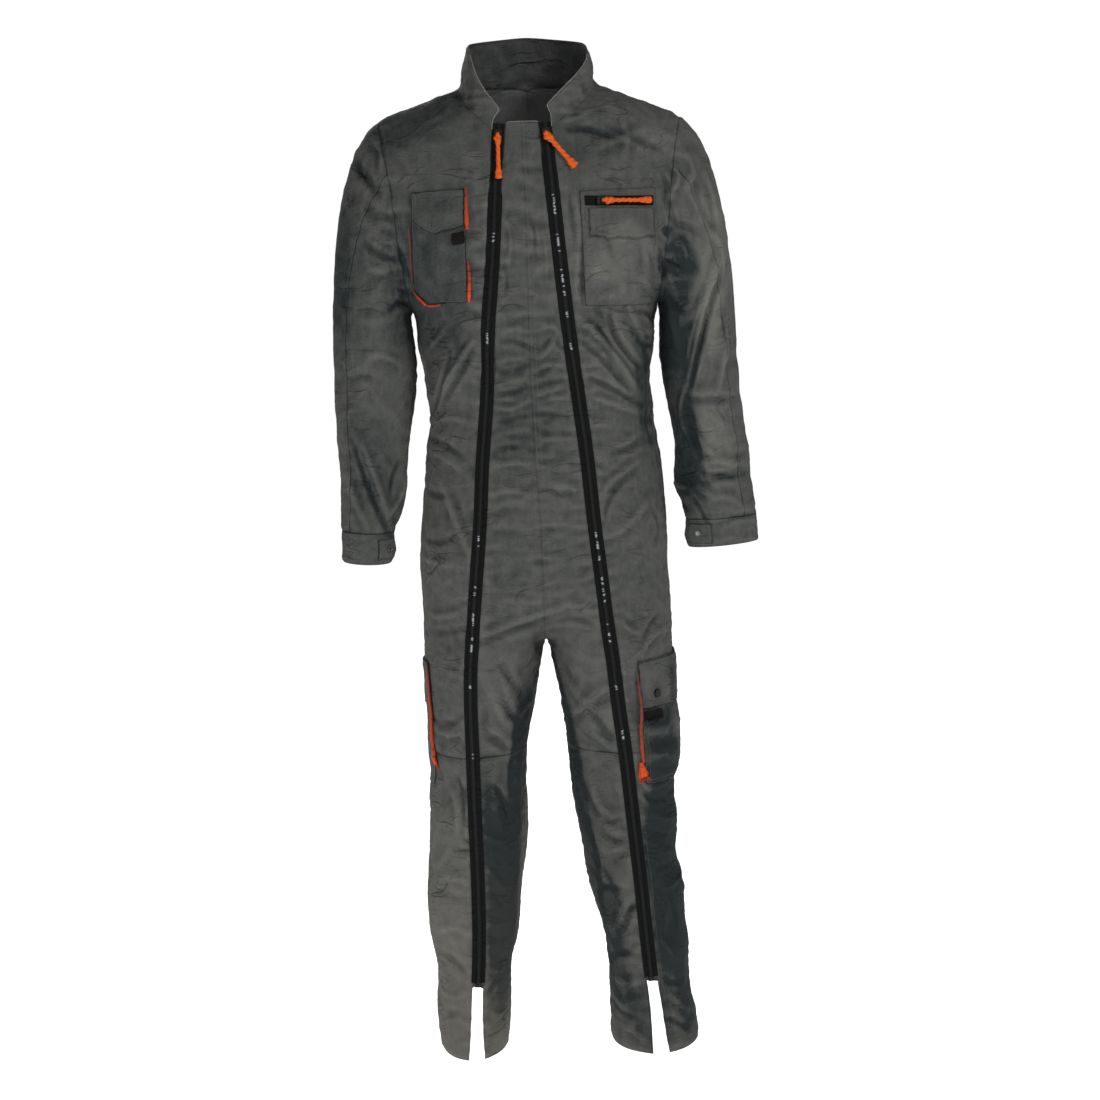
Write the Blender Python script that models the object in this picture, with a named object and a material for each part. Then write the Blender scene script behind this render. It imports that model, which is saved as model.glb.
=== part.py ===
"""Boiler suit: hollow, worn-out form of a work coverall with two full-length front zips.

Metres, +Z up. X runs to the wearer's left, the front faces -Y. The origin lies between the
shoulders, level with the side of the neck: the wearer's shoulders hold the suit up there.
Every cloth piece is a thin closed wall over a grid of points. The grids come from sections:
rings round the trunk and the legs, rows that rise from the armpit to the shoulder, and rings
down each sleeve. What lies on a panel is cut out of that panel's own facets and moved outward.
"""
import bisect
import math

import bmesh
import bpy
from mathutils import Matrix, Vector
from mathutils.bvhtree import BVHTree

# ---------------------------------------------------------------- driving dimensions (metres)
CLOTH = 0.0020          # wall of one layer of twill with its seam allowances
COLLAR_CLOTH = 0.0028   # stand collar: two layers and an interlining
PATCH_CLOTH = 0.0018    # pockets and flaps
PIPING_CLOTH = 0.0030   # rolled edge of the coloured piping
TAG_CLOTH = 0.0012
SEAM = 0.0003           # space between neighbouring pieces
LIFT = 0.0004           # space under a piece that lies on a panel
MITRE_LIMIT = 0.5       # least cosine for which a sharp seam is mitred in full

HEM_LEVEL = -1.498
ZIP_END = -1.373
KNEE_LEVEL = -1.010
CROTCH_LEVEL = -0.861
RISE_LEVEL = -0.760     # the trunk starts to part into two legs below this
WAIST_LEVEL = -0.495
ARMPIT_LEVEL = -0.335
NECK_SIDE = Vector((0.102, 0.008, 0.002))
SHOULDER_RISE = {"right": 0.012, "left": 0.004}     # how much each shoulder point is drawn up
NECK_BACK = Vector((0.000, 0.084, -0.002))
NECK_FRONT_LEVEL = -0.058
ZIP_HALF = 0.0090       # half the width of the black band between two front panels
HEM_LIFT = 0.058        # the back of each hem hangs this much higher than its front
HEM_LIFT_REACH = 0.20

# grid: steps between named levels, columns across each panel
BANDS = ((HEM_LEVEL, ZIP_END, 4), (ZIP_END, KNEE_LEVEL, 11), (KNEE_LEVEL, CROTCH_LEVEL, 5),
         (CROTCH_LEVEL, WAIST_LEVEL, 12), (WAIST_LEVEL, ARMPIT_LEVEL, 6))
RISE_ROWS = 11          # rows from the armpit to the shoulder seam
NECK_ROWS = 4           # the last of them, which start on the neckline
INNER_COLUMNS = 3
OUTER_COLUMNS = 7
BACK_COLUMNS = 7
FINE = 96               # points on a section before the panels are cut from it

SIDES = (("right", -1), ("left", 1))

# ---------------------------------------------------------------- tables, rows from low to high
# Trunk. right/left: half widths. front/back: depths. corner: 2 is an ellipse, more is squarer.
# seam: x of the centre front seam. zip_*: x of each zip. side_*: share of the half ring that
# lies in front of the side seam.
TRUNK_COLUMNS = ("level", "right", "left", "front", "back", "corner",
                 "seam", "zip_right", "zip_left", "side_right", "side_left")
TRUNK = (
    (-0.900, 0.196, 0.194, 0.117, 0.124, 2.5, -0.003, -0.121, 0.099, 0.53, 0.45),
    (-0.850, 0.195, 0.194, 0.119, 0.132, 2.5, -0.003, -0.117, 0.094, 0.53, 0.44),
    (-0.800, 0.193, 0.193, 0.121, 0.137, 2.5, -0.004, -0.112, 0.089, 0.54, 0.43),
    (-0.740, 0.194, 0.191, 0.123, 0.136, 2.4, -0.004, -0.106, 0.084, 0.55, 0.42),
    (-0.680, 0.191, 0.191, 0.123, 0.124, 2.4, -0.004, -0.099, 0.078, 0.55, 0.42),
    (-0.620, 0.185, 0.188, 0.121, 0.108, 2.3, -0.005, -0.093, 0.073, 0.55, 0.42),
    (-0.560, 0.178, 0.184, 0.119, 0.094, 2.3, -0.009, -0.089, 0.069, 0.54, 0.43),
    (-0.495, 0.169, 0.173, 0.120, 0.087, 2.3, -0.010, -0.081, 0.062, 0.53, 0.44),
    (-0.440, 0.175, 0.173, 0.124, 0.094, 2.3, -0.011, -0.076, 0.056, 0.52, 0.46),
    (-0.380, 0.180, 0.179, 0.128, 0.105, 2.3, -0.011, -0.073, 0.049, 0.51, 0.48),
    (-0.335, 0.188, 0.186, 0.130, 0.112, 2.3, -0.011, -0.069, 0.045, 0.50, 0.50),
)

# Legs. *_out/*_in: outer and inner x. inseam_*: share of the ring by which the inner seam is
# turned to the front. slot: half the space between the two front panels.
LEG_COLUMNS = ("level", "right_out", "right_in", "left_out", "left_in", "front", "back",
               "zip_right", "zip_left", "inseam_right", "inseam_left",
               "side_right", "side_left", "slot")
LEGS = (
    (-1.498, 0.196, 0.087, 0.218, 0.074, 0.090, 0.094, -0.137, 0.152, 0.04, 0.01, 0.53, 0.47, 0.0135),
    (-1.460, 0.201, 0.082, 0.215, 0.074, 0.087, 0.095, -0.135, 0.149, 0.04, 0.01, 0.53, 0.47, 0.0110),
    (-1.420, 0.201, 0.079, 0.208, 0.073, 0.086, 0.096, -0.134, 0.146, 0.05, 0.01, 0.53, 0.47, 0.0092),
    (-1.373, 0.199, 0.075, 0.205, 0.073, 0.085, 0.097, -0.130, 0.140, 0.05, 0.01, 0.53, 0.47, 0.0090),
    (-1.300, 0.208, 0.063, 0.202, 0.063, 0.084, 0.098, -0.125, 0.134, 0.05, 0.01, 0.53, 0.47, 0.0090),
    (-1.240, 0.205, 0.056, 0.199, 0.048, 0.085, 0.096, -0.124, 0.130, 0.05, 0.01, 0.53, 0.47, 0.0090),
    (-1.180, 0.201, 0.045, 0.191, 0.040, 0.087, 0.092, -0.123, 0.125, 0.06, 0.01, 0.53, 0.47, 0.0090),
    (-1.120, 0.197, 0.041, 0.192, 0.030, 0.091, 0.088, -0.123, 0.120, 0.07, 0.01, 0.53, 0.47, 0.0090),
    (-1.060, 0.191, 0.041, 0.190, 0.025, 0.097, 0.088, -0.123, 0.115, 0.07, 0.01, 0.53, 0.47, 0.0090),
    (-1.000, 0.194, 0.034, 0.201, 0.022, 0.103, 0.094, -0.122, 0.110, 0.06, 0.01, 0.53, 0.46, 0.0090),
    (-0.940, 0.192, 0.022, 0.195, 0.014, 0.110, 0.107, -0.122, 0.103, 0.04, 0.01, 0.53, 0.45, 0.0090),
    (-0.897, 0.193, 0.014, 0.194, 0.008, 0.114, 0.115, -0.121, 0.099, 0.02, 0.00, 0.53, 0.45, 0.0090),
    (-0.861, 0.194, 0.0036, 0.195, -0.0024, 0.117, 0.124, -0.119, 0.097, 0.00, 0.00, 0.53, 0.45, 0.0090),
)

# Centre lines above the armpit: depth of the front and of the back by level.
RISE_COLUMNS = ("level", "front", "back", "seam", "zip_right", "zip_left")
RISE = (
    (-0.335, 0.130, 0.112, -0.011, -0.069, 0.045),
    (-0.280, 0.131, 0.117, -0.010, -0.063, 0.041),
    (-0.220, 0.129, 0.120, -0.009, -0.057, 0.036),
    (-0.160, 0.122, 0.118, -0.009, -0.053, 0.032),
    (-0.110, 0.112, 0.111, -0.010, -0.048, 0.028),
    (-0.058, 0.098, 0.099, -0.011, -0.043, 0.024),
    (0.000, 0.090, 0.083, -0.011, -0.041, 0.022),
)

YOKE_FLATTEN = 1.6      # how soon the rows leave the trunk's shape for a plain arc
YOKE_BOW = 2.2          # power of that arc

# Neckline: how a curve leaves its start and reaches the side of the neck, as (x, y, z) steps.
NECK_CURVES = {
    "front": (Vector((0.036, 0.006, 0.014)), Vector((0.002, -0.055, -0.016))),
    "back": (Vector((0.050, 0.002, 0.000)), Vector((0.001, 0.042, -0.001))),
}

# Armhole, by share of the way from the armpit (0) to the shoulder point (1).
ARMHOLE_COLUMNS = ("share", "x", "front", "back", "z")
ARMHOLE = (
    (0.00, 0.187, 0.000, 0.000, -0.335),
    (0.12, 0.190, -0.046, 0.040, -0.320),
    (0.28, 0.195, -0.079, 0.068, -0.278),
    (0.45, 0.201, -0.090, 0.078, -0.225),
    (0.62, 0.206, -0.086, 0.077, -0.168),
    (0.78, 0.213, -0.068, 0.066, -0.115),
    (0.90, 0.221, -0.040, 0.044, -0.072),
    (1.00, 0.228, 0.005, 0.005, -0.050),
)

# Sleeves below the shoulder cap: axis level, outer and inner x, front and back y, tilt of the
# ring towards the outside.
SLEEVE_COLUMNS = ("level", "out", "in", "front", "back", "tilt")
SLEEVES = {
    "right": (
        (-0.710, 0.312, 0.236, -0.072, 0.006, 0.003),
        (-0.687, 0.312, 0.224, -0.073, 0.005, 0.003),
        (-0.664, 0.311, 0.234, -0.074, 0.004, 0.003),
        (-0.640, 0.310, 0.214, -0.077, 0.010, 0.002),
        (-0.580, 0.309, 0.207, -0.078, 0.022, 0.000),
        (-0.520, 0.311, 0.200, -0.079, 0.036, 0.000),
        (-0.460, 0.311, 0.188, -0.079, 0.050, 0.000),
        (-0.420, 0.310, 0.184, -0.079, 0.058, 0.000),
    ),
    "left": (
        (-0.702, 0.330, 0.219, -0.066, 0.008, 0.004),
        (-0.684, 0.328, 0.212, -0.067, 0.007, 0.003),
        (-0.662, 0.327, 0.220, -0.068, 0.006, 0.002),
        (-0.636, 0.325, 0.209, -0.073, 0.012, 0.000),
        (-0.605, 0.321, 0.197, -0.076, 0.020, 0.000),
        (-0.560, 0.315, 0.206, -0.078, 0.030, 0.000),
        (-0.500, 0.311, 0.196, -0.079, 0.044, 0.000),
        (-0.420, 0.303, 0.186, -0.079, 0.058, 0.000),
    ),
}
CAP_STEPS = 7           # rings from the armhole to the first section of the table
ARM_STEPS = 7           # rings from there to the cuff seam
CUFF_STEPS = 2
CUFF_SEAM = {"right": -0.664, "left": -0.662}
CAP_LEAVE = 0.19        # handle lengths of the shoulder cap, in shares of its span
CAP_ARRIVE = 0.40
CAP_WAY_TOP = Vector((0.88, 0, -0.47))      # the way a sleeve leaves the armhole
CAP_WAY_UNDER = Vector((0.44, 0, -0.90))
SLEEVE_FRONT_SEAM = 3   # armhole columns from the shoulder point to the two sleeve seams
SLEEVE_BACK_SEAM = 7

# Collar, by share of the way from its front end (0) to the centre back (1).
# lean: how far it leans in for each metre it rises; aim: y of the point it leans towards.
COLLAR_COLUMNS = ("share", "height_right", "height_left", "lean_right", "lean_left", "aim")
COLLAR = (
    (0.00, 0.026, 0.027, 0.65, 0.27, -0.080),
    (0.10, 0.037, 0.038, 0.50, 0.20, -0.070),
    (0.25, 0.047, 0.042, 0.38, 0.12, -0.050),
    (0.40, 0.060, 0.050, 0.33, 0.05, -0.030),
    (0.55, 0.063, 0.060, 0.17, 0.20, -0.012),
    (0.75, 0.072, 0.070, 0.12, 0.20, -0.012),
    (1.00, 0.080, 0.080, 0.10, 0.10, -0.012),
)
COLLAR_ROWS = 3
COLLAR_BOW = 0.004      # how far its middle curves outwards

# Folds. face: which side of the suit, then the two ends (x, z), half width and height of the
# ridge (negative: a trough). A fold fades out towards its ends.
# columns: face, x0, z0, x1, z1, half, height
FOLDS = (
    ("front", -0.095, -0.365, -0.158, -0.482, 0.031, 0.0116),
    ("front", -0.130, -0.340, -0.172, -0.470, 0.028, -0.0055),
    ("front", -0.070, -0.415, -0.160, -0.505, 0.026, -0.0070),
    ("front", -0.172, -0.478, -0.110, -0.500, 0.029, -0.0050),
    ("front", 0.070, -0.405, 0.162, -0.492, 0.031, 0.0116),
    ("front", 0.112, -0.350, 0.170, -0.470, 0.029, -0.0055),
    ("front", 0.140, -0.335, 0.178, -0.430, 0.023, 0.0078),
    ("front", 0.178, -0.505, 0.120, -0.515, 0.029, -0.0050),
    ("front", -0.115, -0.800, -0.010, -0.775, 0.029, 0.0078),
    ("front", 0.085, -0.790, -0.005, -0.772, 0.029, 0.0078),
    ("front", -0.085, -0.850, -0.040, -0.955, 0.026, 0.0093),
    ("front", 0.020, -0.880, 0.080, -1.000, 0.029, 0.0085),
    ("front", 0.130, -1.030, 0.200, -1.065, 0.029, 0.0093),
    ("front", 0.145, -1.120, 0.200, -1.150, 0.029, 0.0085),
    ("front", 0.070, -1.075, 0.040, -1.140, 0.026, -0.0070),
    ("front", 0.150, -1.215, 0.205, -1.240, 0.029, 0.0085),
    ("front", 0.060, -1.240, 0.095, -1.300, 0.026, 0.0078),
    ("front", 0.160, -1.330, 0.205, -1.350, 0.029, 0.0070),
    ("front", -0.200, -1.080, -0.140, -1.115, 0.029, 0.0078),
    ("front", -0.060, -1.085, -0.100, -1.190, 0.026, -0.0078),
    ("front", -0.200, -1.240, -0.150, -1.290, 0.029, 0.0078),
    ("front", -0.090, -1.215, -0.070, -1.320, 0.026, 0.0070),
    ("front", -0.280, -0.395, -0.215, -0.520, 0.029, 0.0078),
    ("front", -0.300, -0.560, -0.235, -0.635, 0.029, -0.0078),
    ("front", 0.245, -0.330, 0.215, -0.500, 0.029, -0.0093),
    ("front", 0.215, -0.500, 0.270, -0.655, 0.029, 0.0093),
    ("front", 0.330, -0.560, 0.240, -0.578, 0.029, 0.0085),
    ("front", 0.335, -0.612, 0.250, -0.606, 0.026, -0.0078),
    ("front", -0.190, -0.300, -0.235, -0.225, 0.029, -0.0078),
    ("front", 0.195, -0.215, 0.240, -0.130, 0.026, 0.0078),
    ("back", -0.160, -0.470, -0.060, -0.420, 0.034, 0.0109),
    ("back", 0.165, -0.480, 0.050, -0.435, 0.034, 0.0109),
    ("back", -0.150, -0.520, 0.020, -0.540, 0.031, -0.0093),
    ("back", 0.020, -0.555, 0.160, -0.520, 0.031, 0.0093),
    ("back", -0.140, -0.330, -0.180, -0.200, 0.031, -0.0093),
    ("back", 0.145, -0.340, 0.180, -0.210, 0.031, -0.0093),
    ("back", -0.110, -0.845, -0.030, -0.885, 0.031, 0.0093),
    ("back", 0.115, -0.850, 0.025, -0.890, 0.031, 0.0093),
    ("back", -0.190, -1.080, -0.060, -1.100, 0.031, -0.0109),
    ("back", 0.050, -1.090, 0.185, -1.075, 0.031, -0.0109),
    ("back", -0.180, -1.150, -0.080, -1.185, 0.031, 0.0093),
    ("back", 0.060, -1.170, 0.190, -1.145, 0.031, 0.0093),
    ("back", -0.085, -1.330, -0.180, -1.300, 0.031, 0.0078),
    ("back", 0.180, -1.320, 0.090, -1.350, 0.031, 0.0078),
    ("back", -0.310, -0.500, -0.215, -0.520, 0.031, -0.0093),
    ("back", 0.215, -0.510, 0.310, -0.490, 0.031, -0.0093),
    ("back", -0.300, -0.420, -0.225, -0.455, 0.031, 0.0078),
    ("back", 0.220, -0.460, 0.300, -0.420, 0.031, 0.0078),
)

# ---------------------------------------------------------------- pockets and fastenings
STOP_SIZE = (0.0100, 0.0034, 0.0065)
# Outlines seen from the front as (x, level), in order round the piece.
CHEST_RIGHT_BODY = ((-0.176, -0.156), (-0.097, -0.154), (-0.099, -0.317), (-0.158, -0.3165),
                    (-0.176, -0.295))
CHEST_RIGHT_FLAP = ((-0.175, -0.157), (-0.098, -0.155), (-0.099, -0.206), (-0.115, -0.2115),
                    (-0.138, -0.2155), (-0.157, -0.209), (-0.1745, -0.194))
CHEST_RIGHT_TAG = ((-0.117, -0.2185), (-0.100, -0.2155), (-0.100, -0.2310), (-0.117, -0.2335))
CHEST_LEFT_BODY = ((0.071, -0.163), (0.183, -0.161), (0.171, -0.331), (0.073, -0.329))
CHEST_LEFT_FLAP = ((0.083, -0.1885), (0.1785, -0.1910), (0.176, -0.2325), (0.084, -0.2300))
CHEST_ZIP = ((0.078, -0.1700), (0.1795, -0.1730), (0.1790, -0.1870), (0.078, -0.1840))
CHEST_ZIP_THICK = 0.0024
CHEST_SLIDER = (0.104, -0.1778)
CHEST_PULL_LENGTH = 0.074
# Piping beside the right chest pocket: each line, then the strip's width.
CHEST_PIPING = (
    ("upper", -0.0965, -0.214, -0.0965, -0.148, -0.005),
    ("lower", -0.0983, -0.317, -0.0974, -0.257, -0.005),
    ("edge", -0.1765, -0.205, -0.1765, -0.288, -0.0035),
    ("corner", -0.1766, -0.2962, -0.1585, -0.3178, -0.005),
    ("foot", -0.1570, -0.3174, -0.1380, -0.3176, -0.004),
)
# Thigh pockets: the view their front edge is measured in, in degrees round from the front;
# the ends of that edge as (across, level); depth of their back edge; levels of their pieces.
THIGH_TURN = {"right": 90.0, "left": 0.0}
THIGH_EDGE = {"right": ((0.043, -0.871), (0.043, -1.062)), "left": ((0.134, -0.879), (0.141, -1.062))}
THIGH_BACK = 0.075
THIGH_BODY = (-1.062, -0.868)
THIGH_FLAP = (-0.940, -0.870)
THIGH_PIPING = {"right": (-1.006, -0.872), "left": (-1.026, -0.880)}
PIPING_WIDTH = 0.0052
PIPING_END = (0.0115, 0.022)
THIGH_STUD = (0.159, -0.919)
THIGH_STUD_SIZE = (0.0065, 0.0022)
CUFF_STUD = (0.0048, 0.0016)
STUD_LIFT = 0.0006      # clears the bend of the cloth under a flat stud
THIGH_TAG = ((0.138, -0.944), (0.161, -0.944), (0.161, -0.959), (0.138, -0.957))
CUFF_TURN = math.radians(50)
CUFF_TAB = (0.032, 0.030)
SLIDER_LEVEL = -0.078
PULL_LENGTH = 0.066
PULL_SWING = {"right": -4.0, "left": -35.0}

# ---------------------------------------------------------------- colours (linear RGB)
TWILL = (0.072, 0.075, 0.071)
BLACK = (0.008, 0.009, 0.009)
ORANGE = (0.75, 0.095, 0.018)
BROWN = (0.030, 0.018, 0.014)
STEEL = (0.45, 0.45, 0.44)


# ---------------------------------------------------------------- reading a table
def value(rows, columns, name, level):
    """One column of a table at a level: a cubic through its rows, flat beyond the ends."""
    keys = [row[0] for row in rows]
    column = columns.index(name)
    values = [row[column] for row in rows]
    if level <= keys[0]:
        return values[0]
    if level >= keys[-1]:
        return values[-1]
    i = bisect.bisect_right(keys, level) - 1

    def slope(k):
        low, high = max(k - 1, 0), min(k + 1, len(keys) - 1)
        return (values[high] - values[low]) / (keys[high] - keys[low])

    span = keys[i + 1] - keys[i]
    s = (level - keys[i]) / span
    return ((2 * s ** 3 - 3 * s ** 2 + 1) * values[i] + (s ** 3 - 2 * s ** 2 + s) * span * slope(i)
            + (3 * s ** 2 - 2 * s ** 3) * values[i + 1] + (s ** 3 - s ** 2) * span * slope(i + 1))


def trunk(name, level):
    return value(TRUNK, TRUNK_COLUMNS, name, level)


def leg(name, level):
    return value(LEGS, LEG_COLUMNS, name, level)


def rise(name, level):
    return value(RISE, RISE_COLUMNS, name, level)


def body(name, level):
    """A column that the trunk and the legs share."""
    return trunk(name, level) if level > CROTCH_LEVEL else leg(name, level)


# ---------------------------------------------------------------- curves
def power(base, exponent):
    return math.copysign(abs(base) ** exponent, base)


def resample(points, count):
    """The same polyline with count + 1 points an equal distance apart."""
    lengths = [0.0]
    for a, b in zip(points, points[1:]):
        lengths.append(lengths[-1] + (b - a).length)
    result = []
    for k in range(count + 1):
        target = lengths[-1] * k / count
        i = min(bisect.bisect_left(lengths, target), len(points) - 1)
        i = max(i, 1)
        span = lengths[i] - lengths[i - 1]
        share = (target - lengths[i - 1]) / span if span > 0 else 0.0
        result.append(points[i - 1].lerp(points[i], share))
    return result


def along(points, share):
    """The point at a share of an evenly sampled polyline."""
    place = min(max(share, 0.0), 1.0) * (len(points) - 1)
    i = min(int(place), len(points) - 2)
    return points[i].lerp(points[i + 1], place - i)


def part_of(points, start, end, count=FINE):
    """Evenly sampled stretch of a polyline, which may run backwards."""
    return resample([along(points, start + (end - start) * k / count) for k in range(count + 1)], count)


def share_at_x(points, x):
    """Share of an evenly sampled polyline at which it first passes x."""
    for i, (a, b) in enumerate(zip(points, points[1:])):
        if (a.x - x) * (b.x - x) <= 0 and a.x != b.x:
            return (i + (x - a.x) / (b.x - a.x)) / (len(points) - 1)
    return 0.5


def bezier(a, b, c, d, t):
    s = 1 - t
    return a * s ** 3 + b * 3 * s * s * t + c * 3 * s * t * t + d * t ** 3


def smooth(t):
    t = min(max(t, 0.0), 1.0)
    return t * t * (3 - 2 * t)


# ---------------------------------------------------------------- sections of trunk and legs
def trunk_ring(side, sign, level):
    """Half ring from the centre front seam round the side to the centre back."""
    half, corner = trunk(side, level), trunk("corner", level)
    front, back = trunk("front", level), trunk("back", level)
    start = math.asin(power(sign * trunk("seam", level) / half, corner / 2))
    points = []
    for k in range(4 * FINE + 1):
        angle = start + (math.pi - start) * k / (4 * FINE)
        depth = front if math.cos(angle) > 0 else back
        points.append(Vector((sign * half * power(math.sin(angle), 2 / corner),
                              -depth * power(math.cos(angle), 2 / corner), level)))
    return resample(points, FINE)


def leg_ring(side, sign, level):
    """Whole ring from the innermost point round the front, outside and back."""
    outer, inner = leg(side + "_out", level), leg(side + "_in", level)
    front, back = leg("front", level), leg("back", level)
    centre, half = (outer + inner) / 2, (outer - inner) / 2
    points = []
    for k in range(4 * FINE + 1):
        angle = -math.pi / 2 + 2 * math.pi * k / (4 * FINE)
        depth = front if math.cos(angle) > 0 else back
        points.append(Vector((sign * (centre + half * math.sin(angle)),
                              -depth * math.cos(angle), level)))
    return resample(points, FINE)


def section(side, sign, level):
    """Front and back curves of one level, each from the inner seam to the side seam."""
    parting = ((RISE_LEVEL - level) / (RISE_LEVEL - CROTCH_LEVEL))
    parting = min(max(parting, 0.0), 1.0) ** 2
    if parting == 0:
        ring = trunk_ring(side, sign, level)
    elif parting == 1:
        ring = leg_ring(side, sign, level)
    else:
        above = trunk_ring(side, sign, level)
        below = leg_ring(side, sign, CROTCH_LEVEL)
        ring = [a.lerp(Vector((b.x, b.y, level)), parting) for a, b in zip(above, below)]
    seam = body("side_" + side, level)
    inseam = leg("inseam_" + side, level) if level < CROTCH_LEVEL else 0.0
    if inseam > 0:
        ring = resample(ring + ring[1:], 2 * FINE)
        front = part_of(ring, inseam / 2, seam / 2)
        back = part_of(ring, (1 + inseam) / 2, seam / 2)
    else:
        front, back = part_of(ring, 0, seam), part_of(ring, 1, seam)
    return front, back


def levels():
    result = [BANDS[0][0]]
    for low, high, steps in BANDS:
        result += [low + (high - low) * k / steps for k in range(1, steps)] + [high]
    return result


# ---------------------------------------------------------------- rows from armpit to shoulder
def armhole_point(sign, face, share, foot):
    """Point on the armhole; foot is where the side seam ends at the armpit."""
    read = [value(ARMHOLE, ARMHOLE_COLUMNS, name, share) for name in ("x", face, "z")]
    raised = SHOULDER_RISE["right" if sign < 0 else "left"] * share ** 2
    point = Vector((sign * read[0], read[1], read[2] + raised))
    first = ARMHOLE[0]
    return point + (foot - Vector((sign * first[1], first[2], first[4]))) * (1 - share) ** 4


def morph(base, start, end, flat, bow, droop=1.0):
    """The shape of a base curve fitted between two points.

    flat draws it towards a plain arc, whose power is bow: 1 is a straight line. The height
    follows the same flatness, so that a row leaves the centre level."""
    first, last = base[0], base[-1]
    count = len(base) - 1
    result = []
    for k, point in enumerate(base):
        u = k / count
        across = (point.x - first.x) / (last.x - first.x)
        deep = (point.y - last.y) / (first.y - last.y)
        across += (u - across) * flat
        deep += (1 - u ** bow - deep) * flat
        result.append(Vector((start.x + (end.x - start.x) * across,
                              end.y + (start.y - end.y) * deep,
                              start.z + (end.z - start.z) * u ** droop)))
    return resample(result, FINE)


def neckline(sign, face, start, share):
    """Point on the neckline from its start (front zip or centre back) to the side of the neck."""
    mirror = Vector((sign, 1, 1))
    side = NECK_SIDE * mirror
    leave, arrive = (step * mirror for step in NECK_CURVES[face])
    return bezier(start, start + leave, side + arrive, side, share)


def rising_rows(side, sign):
    """Front and back curves of the rows above the armpit, the armpit's own row first."""
    front0, back0 = section(side, sign, ARMPIT_LEVEL)
    foot = front0[-1]
    split = RISE_ROWS - NECK_ROWS
    rows = []
    for j in range(RISE_ROWS + 1):
        share = j / RISE_ROWS
        ends = [armhole_point(sign, face, share, foot) for face in ("front", "back")]
        if j <= split:
            low = j / split
            level = ARMPIT_LEVEL + (NECK_FRONT_LEVEL - ARMPIT_LEVEL) * low
            start_f = Vector((rise("seam", level), -rise("front", level), level))
            level_b = ARMPIT_LEVEL + (NECK_BACK.z - ARMPIT_LEVEL) * low
            start_b = Vector((NECK_BACK.x, rise("back", level_b), level_b))
            flat = smooth(YOKE_FLATTEN * low)
            front = morph(front0, start_f, ends[0], flat, YOKE_BOW, 1 + low)
            back = morph(back0, start_b, ends[1], flat, YOKE_BOW, 1 + low / 2)
            if j == split:
                at_zip = share_at_x(front, rise("zip_" + side, level) + sign * ZIP_HALF)
                neck_front, neck_back = part_of(front, at_zip, 1), back
        else:
            high = (j - split) / NECK_ROWS
            start_f = neckline(sign, "front", neck_front[0], high)
            start_b = neckline(sign, "back", neck_back[0], high)
            front = morph(neck_front, start_f, ends[0], smooth(high), 1.0, 2 - high)
            back = morph(neck_back, start_b, ends[1], smooth(high), 1.0, 1.5 - high / 2)
        rows.append((front, back))
    return rows


# ---------------------------------------------------------------- sheets
class Sheet:
    """Points with a normal each, and triangles that face along the normals."""

    def __init__(self, points, triangles, width=0):
        self.points = points
        self.triangles = triangles
        self.width = width          # points in a row, where the sheet is a grid
        self.normals = [Vector((0, 0, 0)) for _ in points]
        self.mitre = [1.0] * len(points)    # how much further a sharp seam has to move


def grid_sheet(rows, flip):
    """Sheet over a grid of points; flip turns its faces over."""
    width = len(rows[0])
    points = [p.copy() for row in rows for p in row]
    triangles = []
    for r in range(len(rows) - 1):
        for c in range(width - 1):
            a, b = r * width + c, r * width + c + 1
            d, e = a + width, b + width
            pair = ((a, b, e), (a, e, d)) if (r + c) % 2 else ((a, b, d), (b, e, d))
            triangles += [t[::-1] if flip else t for t in pair]
    return Sheet(points, triangles, width)


def key(point):
    return tuple(round(v, 5) for v in point)


def share_normals(groups):
    """One common normal wherever points meet.

    Within a group it goes by area. Where two groups meet, such as trunk and sleeve, it
    halves the angle between them, so that both walls end on the same plane."""
    total, own = {}, []
    for sheets in groups:
        sums = {}
        own.append(sums)
        for sheet in sheets:
            for t in sheet.triangles:
                a, b, c = (sheet.points[i] for i in t)
                area = (b - a).cross(c - a)
                for i in t:
                    k = key(sheet.points[i])
                    sums[k] = sums.get(k, Vector((0, 0, 0))) + area
        for k, n in sums.items():
            total[k] = total.get(k, Vector((0, 0, 0))) + n.normalized()
    for sheets, sums in zip(groups, own):
        for sheet in sheets:
            sheet.normals = [total[key(p)].normalized() for p in sheet.points]
            sheet.mitre = [1 / max(MITRE_LIMIT, n.dot(sums[key(p)].normalized()))
                           for p, n in zip(sheet.points, sheet.normals)]


def fold_height(point, normal):
    """Height of all folds at a point."""
    total = 0.0
    for face, x0, z0, x1, z1, half, height in FOLDS:
        facing = -normal.y if face == "front" else normal.y
        if facing <= -0.3:
            continue
        dx, dz = x1 - x0, z1 - z0
        length = math.hypot(dx, dz)
        t = ((point.x - x0) * dx + (point.z - z0) * dz) / length ** 2
        reach = half / length
        if not -reach < t < 1 + reach:
            continue
        off = abs((point.x - x0) * dz - (point.z - z0) * dx) / length
        if off >= half:
            continue
        across = math.cos(off / half * math.pi / 2) ** 2
        ends = smooth((t + reach) / (0.35 + reach)) * smooth((1 + reach - t) / (0.35 + reach))
        total += height * across * ends * smooth((facing + 0.3) / 0.6)
    return total


def fold(sheets):
    for sheet in sheets:
        sheet.points = [p + n * fold_height(p, n) for p, n in zip(sheet.points, sheet.normals)]


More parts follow.
